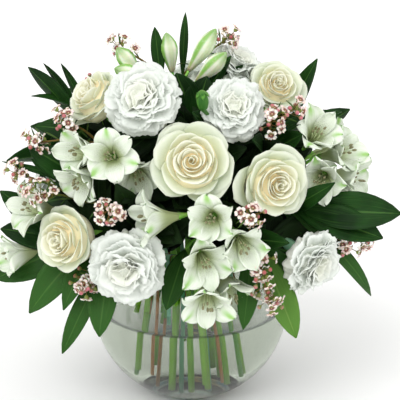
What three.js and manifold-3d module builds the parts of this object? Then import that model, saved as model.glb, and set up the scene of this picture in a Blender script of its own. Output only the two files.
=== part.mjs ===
// Floral table centerpiece: white roses, carnations, alstroemerias, wax flowers and ruscus
// standing in a round glass bowl of water. Millimetres, +Z up, the origin at the middle of
// the bowl's flat base, with the side that is seen first towards -Y.
import * as THREE from 'three';
import { mergeVertices } from 'three/addons/utils/BufferGeometryUtils.js';
import Module from 'manifold-3d';

const wasm = await Module();
wasm.setup();

// Driving dimensions of the bowl and its water
const BOWL_RADIUS = 90;
const BOWL_MIDDLE = 82.5;
const GLASS = 3;
const FLOOR_TOP = 7;
const RIM_TOP = 152;
const WATER_TOP = 87;
const BOWL_SIDES = 24;

// Clear room between neighbouring pieces, and the thickness of petals and leaves
const GAP = 0.35;
const LEAF = 1.3;

// How the stems stand: a loose bundle, narrowest at the neck, that fans out below it
const NECK_HEIGHT = 128;
const NECK_RADIUS = 41;
const NECK_SPACING = 10;
const FAN_BELOW = 1.36;
const TWIST_BELOW = 9;
const FOOT_HEIGHT = 10;
const FOOT_RISE = 26;
const SHALLOW_FOOT = 74;
const STEM_STEPS = 4;

const GOLDEN_ANGLE = 137.5;
const HEART = new THREE.Vector3(0, 0, 190);
const UP = new THREE.Vector3(0, 0, 1);

// Stems that end below this height are led over the rim
const OVER_RIM = 185;

const COLOURS = {
  glass: 0xdfe8e4,
  water: 0xc9d3cc,
  rose: 0xf3efdc,
  carnation: 0xf6f6f4,
  alstroemeria: 0xe6eed6,
  wax: 0xd9b8b0,
  leaf: 0x1f4a22,
  rose_stem: 0x4f7a37,
  carnation_stem: 0x6f927b,
};

// Roses: middle of the open face, azimuth and elevation that it faces, width across
const ROSES = [
  { name: 'rose_front', at: [2, -92, 250], facing: [0, 27], width: 72 },
  { name: 'rose_right', at: [73, -90, 229], facing: [20, 14], width: 64 },
  { name: 'rose_left', at: [-109, -82, 176], facing: [-35, 10], width: 66 },
  { name: 'rose_upper_left', at: [-86, -28, 290], facing: [-58, 42], width: 58 },
  { name: 'rose_upper_right', at: [77, 0, 291], facing: [16, 38], width: 52 },
  { name: 'rose_back_left', at: [-72, 84, 240], facing: [-140, 24], width: 68 },
  { name: 'rose_back_right', at: [84, 84, 236], facing: [136, 22], width: 66 },
  { name: 'rose_back_low', at: [4, 118, 178], facing: [178, 4], width: 70 },
];

// Carnations, given in the same way
const CARNATIONS = [
  { name: 'carnation_upper_left', at: [-39, -50, 290], facing: [-10, 34], width: 68 },
  { name: 'carnation_upper_right', at: [37, -46, 281], facing: [8, 34], width: 60 },
  { name: 'carnation_low_left', at: [-52, -95, 160], facing: [-12, -5], width: 72 },
  { name: 'carnation_low_right', at: [103, -74, 155], facing: [42, -12], width: 62 },
  { name: 'carnation_crown', at: [40, 34, 296], facing: [60, 62], width: 58 },
  { name: 'carnation_back', at: [4, 84, 262], facing: [176, 40], width: 66 },
  { name: 'carnation_back_left', at: [-122, 66, 176], facing: [-118, 2], width: 66 },
];

// Alstroemeria umbels: the fork of the stem, open florets by mouth, facing and roll, closed
// buds by root and tip, and their own long narrow leaves by root, tip and width
const UMBELS = [
  {
    name: 'alstroemeria_left', fork: [-62, -38, 222], deep: true,
    florets: [
      { at: [-66, -90, 254], facing: [-4, 18], roll: 12 },
      { at: [-100, -66, 250], facing: [-52, 14], roll: 40 },
      { at: [-96, -76, 224], facing: [-34, -16], roll: 0 },
      { at: [-42, -76, 228], facing: [14, -14], roll: 30 },
    ],
    buds: [], leaves: [],
  },
  {
    name: 'alstroemeria_centre', fork: [14, -48, 196], deep: true,
    florets: [
      { at: [-38, -102, 202], facing: [-65, 2], roll: 20 },
      { at: [17, -115, 206], facing: [-8, 10], roll: 5 },
      { at: [46, -112, 179], facing: [14, -8], roll: 35 },
    ],
    buds: [], leaves: [],
  },
  {
    name: 'alstroemeria_low', fork: [8, -54, 168], deep: true,
    florets: [
      { at: [14, -113, 166], facing: [12, -4], roll: 15 },
      { at: [15, -114, 127], facing: [0, -22], roll: 0 },
      { at: [38, -94, 127], facing: [32, -30], roll: 25 },
    ],
    buds: [],
    leaves: [
      { from: [-4, -62, 160], to: [-20, -106, 122], width: 22 },
    ],
  },
  {
    name: 'alstroemeria_right', fork: [88, -16, 212], deep: true,
    florets: [
      { at: [112, -42, 262], facing: [22, 40], roll: 10 },
      { at: [140, -26, 238], facing: [50, 20], roll: 0 },
      { at: [150, -26, 212], facing: [66, 2], roll: 30 },
      { at: [112, -58, 220], facing: [-12, 2], roll: 20 },
    ],
    buds: [], leaves: [],
  },
  {
    name: 'alstroemeria_far_left', fork: [-98, -30, 172], deep: false,
    florets: [
      { at: [-160, -52, 149], facing: [-60, 0], roll: 10 },
      { at: [-142, -56, 196], facing: [-50, 18], roll: 30 },
    ],
    buds: [], leaves: [],
  },
  {
    name: 'alstroemeria_top', fork: [-8, 14, 262], deep: false,
    florets: [],
    buds: [
      { from: [-46, 8, 300], to: [-64, 4, 323] },
      { from: [-40, 0, 296], to: [-66, -6, 307] },
      { from: [-16, 20, 297], to: [-21, 20, 333] },
      { from: [-1, 10, 301], to: [23, 9, 339] },
      { from: [6, 0, 294], to: [32, -4, 321] },
    ],
    leaves: [
      { from: [-7, 26, 290], to: [-4, 30, 349], width: 8 },
      { from: [-26, 10, 290], to: [-31, 15, 339], width: 12 },
    ],
  },
  {
    name: 'alstroemeria_back_left', fork: [-34, 66, 196], deep: false,
    florets: [
      { at: [-38, 122, 222], facing: [-165, 14], roll: 12 },
      { at: [-66, 114, 190], facing: [-152, -6], roll: 30 },
      { at: [-44, 118, 150], facing: [-160, -20], roll: 0 },
    ],
    buds: [], leaves: [],
  },
  {
    name: 'alstroemeria_back_right', fork: [46, 64, 196], deep: false,
    florets: [
      { at: [46, 122, 222], facing: [164, 14], roll: 40 },
      { at: [66, 116, 186], facing: [152, -6], roll: 10 },
      { at: [52, 116, 148], facing: [158, -20], roll: 0 },
    ],
    buds: [], leaves: [],
  },
  {
    name: 'alstroemeria_far_right', fork: [92, 24, 190], deep: false,
    florets: [
      { at: [142, 40, 226], facing: [102, 20], roll: 0 },
      { at: [148, 22, 190], facing: [84, 0], roll: 25 },
      { at: [126, 70, 178], facing: [124, -8], roll: 45 },
    ],
    buds: [], leaves: [],
  },
];

// Wax flower sprays: the fork of the twig, and the middle and size of each bunch of florets
const WAX = [
  {
    name: 'wax_left', fork: [-78, -30, 246], deep: true,
    bunches: [
      { at: [-113, -46, 275], florets: 3, buds: 1 },
      { at: [-139, -46, 252], florets: 3, buds: 1 },
    ],
  },
  {
    name: 'wax_low_left', fork: [-92, -50, 199], deep: false,
    bunches: [
      { at: [-154, -46, 227], florets: 2, buds: 1 },
      { at: [-134, -74, 216], florets: 2, buds: 1 },
      { at: [-62, -110, 212], florets: 3, buds: 1 },
    ],
  },
  {
    name: 'wax_centre', fork: [-58, -46, 166], deep: true,
    bunches: [
      { at: [-94, -91, 134], florets: 3, buds: 2 },
    ],
  },
  {
    name: 'wax_right', fork: [44, -58, 198], deep: true,
    bunches: [
      { at: [50, -121, 212], florets: 2, buds: 1 },
      { at: [64, -106, 150], florets: 3, buds: 1 },
      { at: [70, -102, 122], florets: 2, buds: 2 },
    ],
  },
  {
    name: 'wax_far_right', fork: [100, -34, 178], deep: false,
    bunches: [
      { at: [142, -60, 158], florets: 2, buds: 1 },
      { at: [160, -54, 166], florets: 2, buds: 1 },
    ],
  },
  {
    name: 'wax_upper_right', fork: [68, -34, 252], deep: false,
    bunches: [
      { at: [70, -66, 284], florets: 2, buds: 2 },
      { at: [93, -52, 289], florets: 1, buds: 2 },
    ],
  },
  {
    name: 'wax_top', fork: [-16, 30, 282], deep: false,
    bunches: [
      { at: [-68, 12, 326], florets: 2, buds: 1 },
      { at: [40, 30, 331], florets: 2, buds: 1 },
    ],
  },
  {
    name: 'wax_back', fork: [-40, 48, 246], deep: false,
    bunches: [
      { at: [-34, 122, 252], florets: 2, buds: 1 },
      { at: [-98, 58, 276], florets: 3, buds: 1 },
    ],
  },
];

// Leafy stems: the points that each runs through above the neck, and its leaves by the share
// of that run where they grow, tip and width
const FOLIAGE = [
  {
    name: 'ruscus_crown', run: [[2, -6, 215], [3, -10, 262]], deep: false,
    leaves: [
      { share: 1.00, to: [-12, -10, 304], width: 26 },
      { share: 0.88, to: [15, -6, 300], width: 28 },
      { share: 0.75, to: [36, 2, 316], width: 20 },
      { share: 0.63, to: [50, 20, 304], width: 18 },
      { share: 0.50, to: [2, -64, 284], width: 26 },
    ],
  },
  {
    name: 'ruscus_upper_left', run: [[-52, 2, 215], [-100, 2, 258]], deep: false,
    leaves: [
      { share: 1.00, to: [-143, 10, 304], width: 18 },
      { share: 0.88, to: [-130, 16, 306], width: 9 },
      { share: 0.75, to: [-115, 20, 305], width: 9 },
      { share: 0.63, to: [-140, 0, 280], width: 24 },
      { share: 0.50, to: [-136, -12, 256], width: 24 },
      { share: 0.38, to: [-112, 40, 276], width: 24 },
    ],
  },
  {
    name: 'ruscus_left', run: [[-56, -26, 190], [-84, -40, 212]], deep: false,
    leaves: [
      { share: 1.00, to: [-138, -50, 250], width: 26 },
      { share: 0.79, to: [-137, -44, 236], width: 20 },
      { share: 0.59, to: [-163, -40, 233], width: 7 },
    ],
  },
  {
    name: 'ruscus_low_left', run: [[-54, -16, 166], [-102, -34, 154]], deep: true,
    leaves: [
      { share: 1.00, to: [-167, -32, 203], width: 26 },
      { share: 0.84, to: [-168, -34, 168], width: 28 },
      { share: 0.69, to: [-181, -40, 122], width: 34 },
      { share: 0.54, to: [-142, -62, 99], width: 30 },
      { share: 0.38, to: [-110, -80, 110], width: 24 },
    ],
  },
  {
    name: 'ruscus_low', run: [[-40, -30, 164], [-74, -58, 146]], deep: false,
    leaves: [
      { share: 1, to: [-112, -84, 70], width: 18 },
      { share: 0.85, to: [-78, -96, 92], width: 26 },
    ],
  },
  {
    name: 'ruscus_right', run: [[48, -20, 182], [96, -46, 190]], deep: true,
    leaves: [
      { share: 1, to: [181, -70, 196], width: 34 },
      { share: 0.9, to: [166, -72, 174], width: 30 },
      { share: 0.78, to: [122, -84, 229], width: 16 },
      { share: 0.66, to: [136, -14, 136], width: 28 },
    ],
  },
  {
    name: 'ruscus_low_right', run: [[34, -34, 164], [62, -64, 160]], deep: false,
    leaves: [
      { share: 1, to: [92, -94, 90], width: 26 },
      { share: 0.7, to: [46, -94, 98], width: 20 },
      { share: 0.38, to: [84, -98, 180], width: 20 },
    ],
  },
  {
    name: 'ruscus_upper_right', run: [[40, -14, 214], [74, -34, 242]], deep: false,
    leaves: [
      { share: 1, to: [96, -54, 262], width: 18 },
      { share: 0.64, to: [52, -76, 264], width: 22 },
      { share: 0.5, to: [136, 12, 262], width: 22 },
    ],
  },
  {
    name: 'ruscus_back_left', run: [[-44, 34, 190], [-86, 58, 206]], deep: false,
    leaves: [
      { share: 1, to: [-152, 80, 228], width: 30 },
      { share: 0.9, to: [-168, 24, 212], width: 28 },
      { share: 0.75, to: [-116, 112, 206], width: 28 },
      { share: 0.6, to: [-92, 108, 140], width: 28 },
    ],
  },
  {
    name: 'ruscus_back_right', run: [[46, 34, 186], [86, 60, 198]], deep: false,
    leaves: [
      { share: 0.36, to: [114, 32, 306], width: 22 },
      { share: 1, to: [150, 76, 246], width: 30 },
      { share: 0.9, to: [142, 104, 206], width: 30 },
      { share: 0.75, to: [108, 112, 140], width: 30 },
      { share: 0.6, to: [138, 4, 138], width: 26 },
    ],
  },
];

const deg = THREE.MathUtils.degToRad;
const mix = THREE.MathUtils.lerp;
const vec = (point) => new THREE.Vector3(...point);

// A repeatable draw between 0 and 1 for each whole number
function draw(number) {
  const wave = Math.sin(number * 12.9898 + 4.1414) * 43758.5453;
  return wave - Math.floor(wave);
}

// A closed solid from a geometry: shared corners merged, flat triangles dropped, faces outwards
function solid(geometry) {
  geometry.deleteAttribute('normal');
  geometry.deleteAttribute('uv');
  const merged = mergeVertices(geometry, 1e-4);
  const corners = merged.attributes.position;
  const at = [0, 1, 2].map(() => new THREE.Vector3());
  const triangles = [];
  let volume = 0;
  for (let i = 0; i < merged.index.count; i += 3) {
    const [a, b, c] = [0, 1, 2].map((k) => merged.index.getX(i + k));
    if (a === b || b === c || c === a) continue;
    triangles.push(a, b, c);
    [a, b, c].forEach((corner, k) => at[k].fromBufferAttribute(corners, corner));
    volume += at[0].dot(at[1].cross(at[2]));
  }
  if (volume < 0) triangles.reverse();
  return new wasm.Manifold(new wasm.Mesh({
    numProp: 3,
    vertProperties: new Float32Array(corners.array),
    triVerts: new Uint32Array(triangles),
  }));
}

// A solid turned about the Z axis from a list of [radius, height] corners
function turned(profile, sides) {
  const geometry = new THREE.LatheGeometry(profile.map(([r, z]) => new THREE.Vector2(r, z)), sides);
  return solid(geometry.rotateX(Math.PI / 2));
}

// A route through fixed stations, so that a stem and the room left round it bend alike
class Route extends THREE.Curve {
  constructor(stations) {
    super();
    this.stations = stations;
  }

  getPoint(t, target = new THREE.Vector3()) {
    const place = Math.min(Math.max(t, 0), 1) * (this.stations.length - 1);
    const before = Math.min(Math.floor(place), this.stations.length - 2);
    return target.lerpVectors(this.stations[before], this.stations[before + 1], place - before);
  }

  getUtoTmapping(u) {
    return u;
  }
}

// A closed skin over rings of points, with a pole before the first ring and after the last.
// A ring has as many points as the one before it, or twice as many
function skin(first, rings, last) {
  const index = [];
  const starts = [];
  let made = 1;
  rings.forEach((ring) => {
    starts.push(made);
    made += ring.length;
  });
  const corner = (ring, k) => starts[ring] + (k % rings[ring].length);
  rings.forEach((ring, j) => {
    const twice = j + 1 < rings.length && rings[j + 1].length > ring.length;
    for (let k = 0; k < ring.length; k += 1) {
      if (j === 0) index.push(0, corner(0, k + 1), corner(0, k));
      if (j === rings.length - 1) index.push(made, corner(j, k), corner(j, k + 1));
      else if (twice) {
        index.push(corner(j, k), corner(j + 1, 2 * k + 1), corner(j + 1, 2 * k));
        index.push(corner(j, k), corner(j, k + 1), corner(j + 1, 2 * k + 1));
        index.push(corner(j, k + 1), corner(j + 1, 2 * k + 2), corner(j + 1, 2 * k + 1));
      } else {
        index.push(corner(j, k), corner(j, k + 1), corner(j + 1, k + 1));
        index.push(corner(j, k), corner(j + 1, k + 1), corner(j + 1, k));
      }
    }
  });
  const geometry = new THREE.BufferGeometry();
  const points = [first, ...rings.flat(), last];
  geometry.setAttribute('position', new THREE.Float32BufferAttribute(
    points.flatMap((point) => point.toArray()), 3));
  geometry.setIndex(index);
  return solid(geometry);
}

// How far the end of a stalk stands out, by its radius there
const POLE = 0.4;

// A round stalk along its stations, with a radius at each. Room left round it is grown by grow
function stalk(stations, radii, sides, grow = 0) {
  const count = stations.length;
  const frames = new Route(stations).computeFrenetFrames(count - 1);
  const rings = stations.map((station, j) => Array.from({ length: sides }, (_, k) => {
    const turn = (k / sides) * 2 * Math.PI;
    const wide = radii[j] + grow / Math.cos(Math.PI / sides);
    return station.clone().addScaledVector(frames.normals[j], wide * Math.cos(turn))
      .addScaledVector(frames.binormals[j], wide * Math.sin(turn));
  }));
  const pole = (j, way) => stations[j].clone()
    .addScaledVector(frames.tangents[j], way * (POLE * radii[j] + grow));
  return skin(pole(0, -1), rings, pole(count - 1, 1));
}

// A petal or leaf: the surface at(u, v), with u across from -1 to 1 and v along from 0 to 1,
// thickest inside and sharp at its outline. Room left round it is grown by grow on all sides
function blade(at, across, along, thickness, grow = 0) {
  const rows = [];
  for (let j = 0; j <= along; j += 1) {
    rows.push(Array.from({ length: across + 1 }, (_, i) => at((2 * i) / across - 1, j / along)));
  }
  const faces = [1, -1].map((side) => rows.map((row, j) => row.map((point, i) => {
    const inner = Math.min(Math.max(j, 1), along - 1);
    const line = rows[inner];
    const sideways = line[Math.min(i + 1, across)].clone().sub(line[Math.max(i - 1, 0)]);
    const onwards = rows[inner + 1][i].clone().sub(rows[inner - 1][i]);
    const normal = sideways.cross(onwards).normalize();
    const edge = i === 0 || i === across || j === 0 || j === along;
    const moved = point.clone().addScaledVector(normal, side * ((edge ? 0 : thickness / 2) + grow));
    if (grow > 0 && edge) {
      const middle = rows[inner][Math.min(Math.max(i, 1), across - 1)];
      moved.addScaledVector(point.clone().sub(middle).normalize(), 1.6 * grow);
    }
    return moved;
  })));
  const index = [];
  const corner = (side, j, i) => (side * (along + 1) + j) * (across + 1) + i;
  const quad = (a, b, c, d) => index.push(a, b, c, a, c, d);
  for (let j = 0; j < along; j += 1) {
    for (let i = 0; i < across; i += 1) {
      quad(corner(0, j, i), corner(0, j, i + 1), corner(0, j + 1, i + 1), corner(0, j + 1, i));
      index.push(corner(1, j, i), corner(1, j + 1, i + 1), corner(1, j, i + 1));
      index.push(corner(1, j, i), corner(1, j + 1, i), corner(1, j + 1, i + 1));
    }
    quad(corner(0, j + 1, 0), corner(1, j + 1, 0), corner(1, j, 0), corner(0, j, 0));
    quad(corner(0, j, across), corner(1, j, across), corner(1, j + 1, across), corner(0, j + 1, across));
  }
  for (let i = 0; i < across; i += 1) {
    quad(corner(0, 0, i), corner(1, 0, i), corner(1, 0, i + 1), corner(0, 0, i + 1));
    quad(corner(0, along, i + 1), corner(1, along, i + 1), corner(1, along, i), corner(0, along, i));
  }
  const geometry = new THREE.BufferGeometry();
  geometry.setAttribute('position', new THREE.Float32BufferAttribute(
    faces.flat(2).flatMap((point) => point.toArray()), 3));
  geometry.setIndex(index);
  return solid(geometry);
}

// The turn and place of a flower that faces an azimuth and elevation, rolled about that line
function placed(at, [azimuth, elevation], roll = 0, back = 0) {
  const facing = new THREE.Vector3(
    Math.sin(deg(azimuth)) * Math.cos(deg(elevation)),
    -Math.cos(deg(azimuth)) * Math.cos(deg(elevation)),
    Math.sin(deg(elevation)));
  const right = new THREE.Vector3(Math.cos(deg(azimuth)), Math.sin(deg(azimuth)), 0);
  const matrix = new THREE.Matrix4().makeBasis(right, facing.clone().cross(right), facing);
  matrix.multiply(new THREE.Matrix4().makeRotationZ(deg(roll)));
  return matrix.setPosition(vec(at).addScaledVector(facing, -back));
}

const polar = (radius, turn, height) => new THREE.Vector3(
  radius * Math.cos(turn), radius * Math.sin(turn), height);

// Rose: whorls of five petals, each rim lobed and half a petal round from the one outside it.
// A whorl gives the radius and height of its rim and of the groove inside it, by half-width
// and height of the bloom
const ROSE_HEIGHT = 0.64;
const ROSE_FACE = 0.62;
const ROSE_COLUMNS = 15;
const ROSE_WHORLS = [
  { rim: [1, 0.6], groove: [0.66, 0.36], lobe: [0.16, 0.12] },
  { rim: [0.76, 0.84], groove: [0.5, 0.52], lobe: [0.1, 0.1] },
  { rim: [0.52, 0.97], groove: [0.3, 0.66], lobe: [0.08, 0.08] },
  { rim: [0.27, 1], groove: [0.1, 0.8], lobe: [0.06, 0.05] },
];

function roseBloom(width) {
  const half = width / 2;
  const tall = width * ROSE_HEIGHT;
  const ring = (radius, height, lobe = [0, 0], turn = 0) => (
    Array.from({ length: ROSE_COLUMNS }, (_, k) => {
      const notch = (k + turn) % 3 === 0 ? 1 : 0;
      const reach = radius - notch * lobe[0];
      return polar(half * reach, deg(k * (360 / ROSE_COLUMNS)), tall * (height - notch * lobe[1]));
    }));
  const rings = [ring(0.2, 0), ring(0.78, 0.16)];
  ROSE_WHORLS.forEach(({ rim, groove, lobe }, k) => {
    rings.push(ring(...rim, lobe, k * 2), ring(...groove));
  });
  return skin(new THREE.Vector3(0, 0, 0), rings, new THREE.Vector3(0, 0, 0.8 * tall));
}

// The room that a bloom fills, from the calyx over its widest rim to the top
function bloomRoom(width, tall) {
  return turned([
    [0, -1], [0.2 * width, -1], [0.45 * width, 0.2 * tall], [0.54 * width, 0.55 * tall],
    [0.54 * width, 0.78 * tall], [0.3 * width, tall + 1.5], [0, tall + 1.5],
  ], 10);
}

// Carnation: ruffled whorls with a toothed edge, in the same terms as the rose's
const CARNATION_HEIGHT = 0.58;
const CARNATION_FACE = 0.5;
const CARNATION_COLUMNS = 18;
const CARNATION_WHORLS = [
  { rim: [1, 0.56], groove: [0.7, 0.5], ruffle: [0.1, 0.09] },
  { rim: [0.78, 0.84], groove: [0.46, 0.62], ruffle: [0.1, 0.06] },
  { rim: [0.42, 1], groove: [0.18, 0.82], ruffle: [0.12, 0.05] },
];

function carnationBloom(width) {
  const half = width / 2;
  const tall = width * CARNATION_HEIGHT;
  const ring = (radius, height, ruffle = [0, 0], turn = 0) => (
    Array.from({ length: CARNATION_COLUMNS }, (_, k) => {
      const tooth = ((k + turn) % 2 ? 1 : -1) + 0.6 * Math.sin(k * 2.1 + turn);
      const reach = radius + tooth * ruffle[0] * 0.5 - ruffle[0];
      const rise = height + tooth * ruffle[1] * 0.5;
      return polar(half * reach, deg(k * (360 / CARNATION_COLUMNS)), tall * rise);
    }));
  const rings = [ring(0.22, 0)];
  CARNATION_WHORLS.forEach(({ rim, groove, ruffle }, k) => {
    rings.push(ring(...rim, ruffle, k), ring(...groove));
  });
  return skin(new THREE.Vector3(0, 0, 0), rings, new THREE.Vector3(0, 0, 0.9 * tall));
}

// Alstroemeria floret: a funnel that opens in three broad and three narrow tepals
const FLORET_LENGTH = 40;
const FLORET_MOUTH = 24;
const FLORET_FACE = 0.84;
const THROAT_RADIUS = 2.6;
const FLARE_RADIUS = 8.6;
const FLARE_HEIGHT = 26.4;
const TEPAL_NOTCH = 5;
const STALK_RADIUS = 1.7;
const COLLARS = [0.12, 0.55];
const STALK_ROOM = [2.2, 2.4, 2.4, 3.6];

// The floret with its stalk, which bends from the fork of the stem into the line that it faces
function floretBody(matrix, fork) {
  const ring = (reach, height, deep) => Array.from({ length: 12 }, (_, k) => {
    const notch = k % 2;
    const narrow = k % 4 === 2;
    const radius = notch ? 0.54 * reach : reach * (narrow ? 0.9 : 1);
    return polar(radius, deg(30 * k + 90), height - (notch ? deep : 0) + (narrow ? 0.4 * deep : 0));
  });
  const throat = Array.from({ length: 6 }, (_, k) => polar(THROAT_RADIUS, deg(60 * k + 90), 1));
  const cup = [
    throat,
    ring(FLARE_RADIUS + 1.5, FLARE_HEIGHT, 0),
    ring(FLORET_MOUTH, 0.94 * FLORET_LENGTH, TEPAL_NOTCH),
    ring(FLARE_RADIUS, FLARE_HEIGHT + 2, 0),
  ];
  cup.flat().forEach((point) => point.applyMatrix4(matrix));
  const bend = new THREE.CubicBezierCurve3(...stalkRoute(matrix, fork));
  const along = new THREE.Vector3().setFromMatrixColumn(matrix, 0);
  const collars = COLLARS.map((t) => {
    const ahead = bend.getTangent(t);
    const side = along.clone().addScaledVector(ahead, -along.dot(ahead)).normalize();
    const over = ahead.clone().cross(side);
    return [90, 210, 330].map((turn) => bend.getPoint(t)
      .addScaledVector(side, STALK_RADIUS * Math.cos(deg(turn)))
      .addScaledVector(over, STALK_RADIUS * Math.sin(deg(turn))));
  });
  const heart = new THREE.Vector3(0, 0, 0.4 * FLORET_LENGTH).applyMatrix4(matrix);
  return skin(fork, [...collars, ...cup], heart);
}

function stalkRoute(matrix, fork) {
  const base = new THREE.Vector3().setFromMatrixPosition(matrix);
  const facing = new THREE.Vector3().setFromMatrixColumn(matrix, 2);
  const span = fork.distanceTo(base);
  return [fork, fork.clone().lerp(base, 0.36), base.clone().addScaledVector(facing, -0.35 * span), base];
}

function stalkRoom(matrix, fork) {
  const bend = new THREE.CubicBezierCurve3(...stalkRoute(matrix, fork));
  const route = [0, ...COLLARS, 1].map((t) => bend.getPoint(t));
  return stalk(route, STALK_ROOM, 4, GAP);
}

function floretRoom() {
  return turned([
    [0, -4], [THROAT_RADIUS, -3.5], [FLARE_RADIUS + 3, 0.9 * FLARE_HEIGHT],
    [FLORET_MOUTH + 2, 0.8 * FLORET_LENGTH], [FLORET_MOUTH + 2, FLORET_LENGTH + 1], [0, FLORET_LENGTH + 1],
  ], 8);
}

// A closed bud between two points, widest past its middle
const BUD_WIDTH = 15;

function budBody(from, to, grow = 0) {
  const run = [0, 0.6, 0.94].map((share) => from.clone().lerp(to, share));
  return stalk(run, [0.2, 0.5, 0.1].map((share) => share * BUD_WIDTH), 5, grow);
}

// A leaf from its root to its tip. Its face turns up and to the side of the bouquet where it
// grows, and it arches that way, each leaf of a stem more than the one before it
function leafSurface(from, to, width, arch) {
  const root = vec(from);
  const tip = vec(to);
  const run = tip.clone().sub(root);
  const length = run.length();
  const face = tip.clone().sub(HEART).setLength(0.4).add(new THREE.Vector3(0, Math.sign(tip.y) * 0.8, 0.5));
  face.addScaledVector(run, -face.dot(run) / (length * length)).normalize();
  const across = run.clone().normalize().cross(face);
  return (u, v) => {
    const half = v < 1 ? (width / 2) * Math.sin(Math.PI * v ** 1.1) ** 0.7 : 0;
    const lift = 4 * arch * length * v * (1 - v) + 0.28 * half * u * u;
    return root.clone().addScaledVector(run, v).addScaledVector(face, lift)
      .addScaledVector(across, u * half);
  };
}

function leafBody(from, to, width, arch, grow = 0) {
  return blade(leafSurface(from, to, width, arch), 2, 3, LEAF, grow);
}

// Wax floret: a cup whose mouth has five round lobes, on a three-sided stalk
const WAX_WIDTH = 12;
const WAX_CUP = 4;

function waxFloret(root, mouth, grow = 0) {
  const axis = mouth.clone().sub(root);
  const length = axis.length();
  const turn = new THREE.Quaternion().setFromUnitVectors(new THREE.Vector3(0, 0, 1), axis.normalize());
  const bottom = length - WAX_CUP - grow;
  const neck = Array.from({ length: 5 }, (_, k) => polar(0.9 + grow, deg(72 * k + 36), bottom));
  const mouthRing = Array.from({ length: 10 }, (_, k) => (
    polar((k % 2 ? 0.32 : 0.5) * WAX_WIDTH + 1.5 * grow, deg(36 * k), length + grow)));
  const points = [new THREE.Vector3(0, 0, -grow), ...neck, ...mouthRing,
    new THREE.Vector3(0, 0, length - 0.4 * WAX_CUP + grow)];
  const index = [];
  for (let k = 0; k < 5; k += 1) {
    const [here, next] = [1 + k, 1 + ((k + 1) % 5)];
    const [before, notch, after] = [6 + 2 * k, 7 + 2 * k, 6 + ((2 * k + 2) % 10)];
    index.push(0, next, here, here, next, after, here, after, notch, here, notch, before);
    index.push(16, before, notch, 16, notch, after);
  }
  const geometry = new THREE.BufferGeometry();
  geometry.setAttribute('position', new THREE.Float32BufferAttribute(
    points.flatMap((point) => point.toArray()), 3));
  geometry.setIndex(index);
  return solid(geometry).transform(
    new THREE.Matrix4().compose(root, turn, new THREE.Vector3(1, 1, 1)).elements);
}

// The florets and buds of one bunch, spread over the outer half of a ball round its middle
function waxBunch(bunch, fork, seed, grow = 0) {
  const middle = vec(bunch.at);
  const away = middle.clone().sub(fork).normalize();
  const root = middle.clone().addScaledVector(away, -9);
  const tilt = new THREE.Quaternion().setFromUnitVectors(new THREE.Vector3(0, 0, 1), away);
  const count = bunch.florets + bunch.buds;
  const bodies = [];
  for (let k = 0; k < count; k += 1) {
    const lean = deg(k === 0 ? 8 : 52 + 22 * draw(seed + k));
    const heading = deg(k * GOLDEN_ANGLE + 360 * draw(seed));
    const aim = polar(Math.sin(lean), heading, Math.cos(lean)).applyQuaternion(tilt);
    const tip = root.clone().addScaledVector(aim, 15 + 3 * draw(seed + 7 * k));
    if (k < bunch.florets) bodies.push(waxFloret(root, tip, grow));
    else bodies.push(stalk([root, root.clone().lerp(tip, 0.7), tip], [0.7, 2.3, 0.8], 3, grow));
  }
  return wasm.Manifold.union(bodies);
}

// The twig from the fork to the root of a bunch
function waxTwig(bunch, fork, grow = 0) {
  const middle = vec(bunch.at);
  const root = middle.clone().addScaledVector(middle.clone().sub(fork).normalize(), -8);
  const bend = fork.clone().lerp(root, 0.5).add(new THREE.Vector3(0, 0, 3));
  return stalk([fork, bend, root], [1.2, 1.1, 1.5], 3, grow);
}

// Routes of the stems: where each crosses the neck, its foot in the water and its upper bend
function neckPlaces(ends) {
  const places = ends.map((end) => {
    const flat = new THREE.Vector2(end.x, end.y);
    const lean = Math.atan2(flat.length(), end.z - NECK_HEIGHT);
    return flat.setLength(NECK_RADIUS * Math.min(1, Math.sin(lean / 2) / Math.sin(deg(36))));
  });
  for (let round = 0; round < 300; round += 1) {
    for (let a = 0; a < places.length; a += 1) {
      for (let b = 0; b < a; b += 1) {
        const apart = places[a].clone().sub(places[b]);
        const short = NECK_SPACING - apart.length();
        if (short <= 0) continue;
        apart.setLength(short / 3);
        places[a].add(apart);
        places[b].sub(apart);
      }
      places[a].clampLength(0, NECK_RADIUS + 2);
    }
  }
  return places;
}

function lowerRoute(place, deep) {
  const foot = place.clone().multiplyScalar(FAN_BELOW).rotateAround(new THREE.Vector2(), deg(TWIST_BELOW));
  const bottom = FOOT_HEIGHT + FOOT_RISE * (place.length() / NECK_RADIUS) ** 2;
  const neck = new THREE.Vector3(place.x, place.y, NECK_HEIGHT);
  const lowest = new THREE.Vector3(foot.x, foot.y, bottom);
  return deep ? lowest : neck.clone().lerp(lowest, (NECK_HEIGHT - SHALLOW_FOOT) / (NECK_HEIGHT - bottom));
}

function fullRoute(place, end, growing, deep) {
  const neck = new THREE.Vector3(place.x, place.y, NECK_HEIGHT);
  const span = neck.distanceTo(end);
  const overRim = end.z < OVER_RIM;
  const rise = new THREE.Vector3(place.x, place.y, 0).multiplyScalar(overRim ? 0 : 0.01).add(UP);
  const first = neck.clone().addScaledVector(rise, overRim ? 0.72 * span : 0.42 * span);
  const second = end.clone().addScaledVector(growing, -0.3 * span);
  const bend = new THREE.CubicBezierCurve3(neck, first, second, end);
  return [lowerRoute(place, deep), ...bend.getPoints(STEM_STEPS)];
}

// Parts of every node, from the ones that give way to nothing to the ones that give way to all
const MAIN_STEM = 0;
const SIDE_STEM = 1;
const FLOWER = 2;
const FOLIAGE_RANK = 3;
const parts = [];

function add(node, colour, rank, body, room) {
  parts.push({ node, colour, rank, body, room, order: parts.length });
}

const facingOf = (matrix) => new THREE.Vector3().setFromMatrixColumn(matrix, 2);

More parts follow.
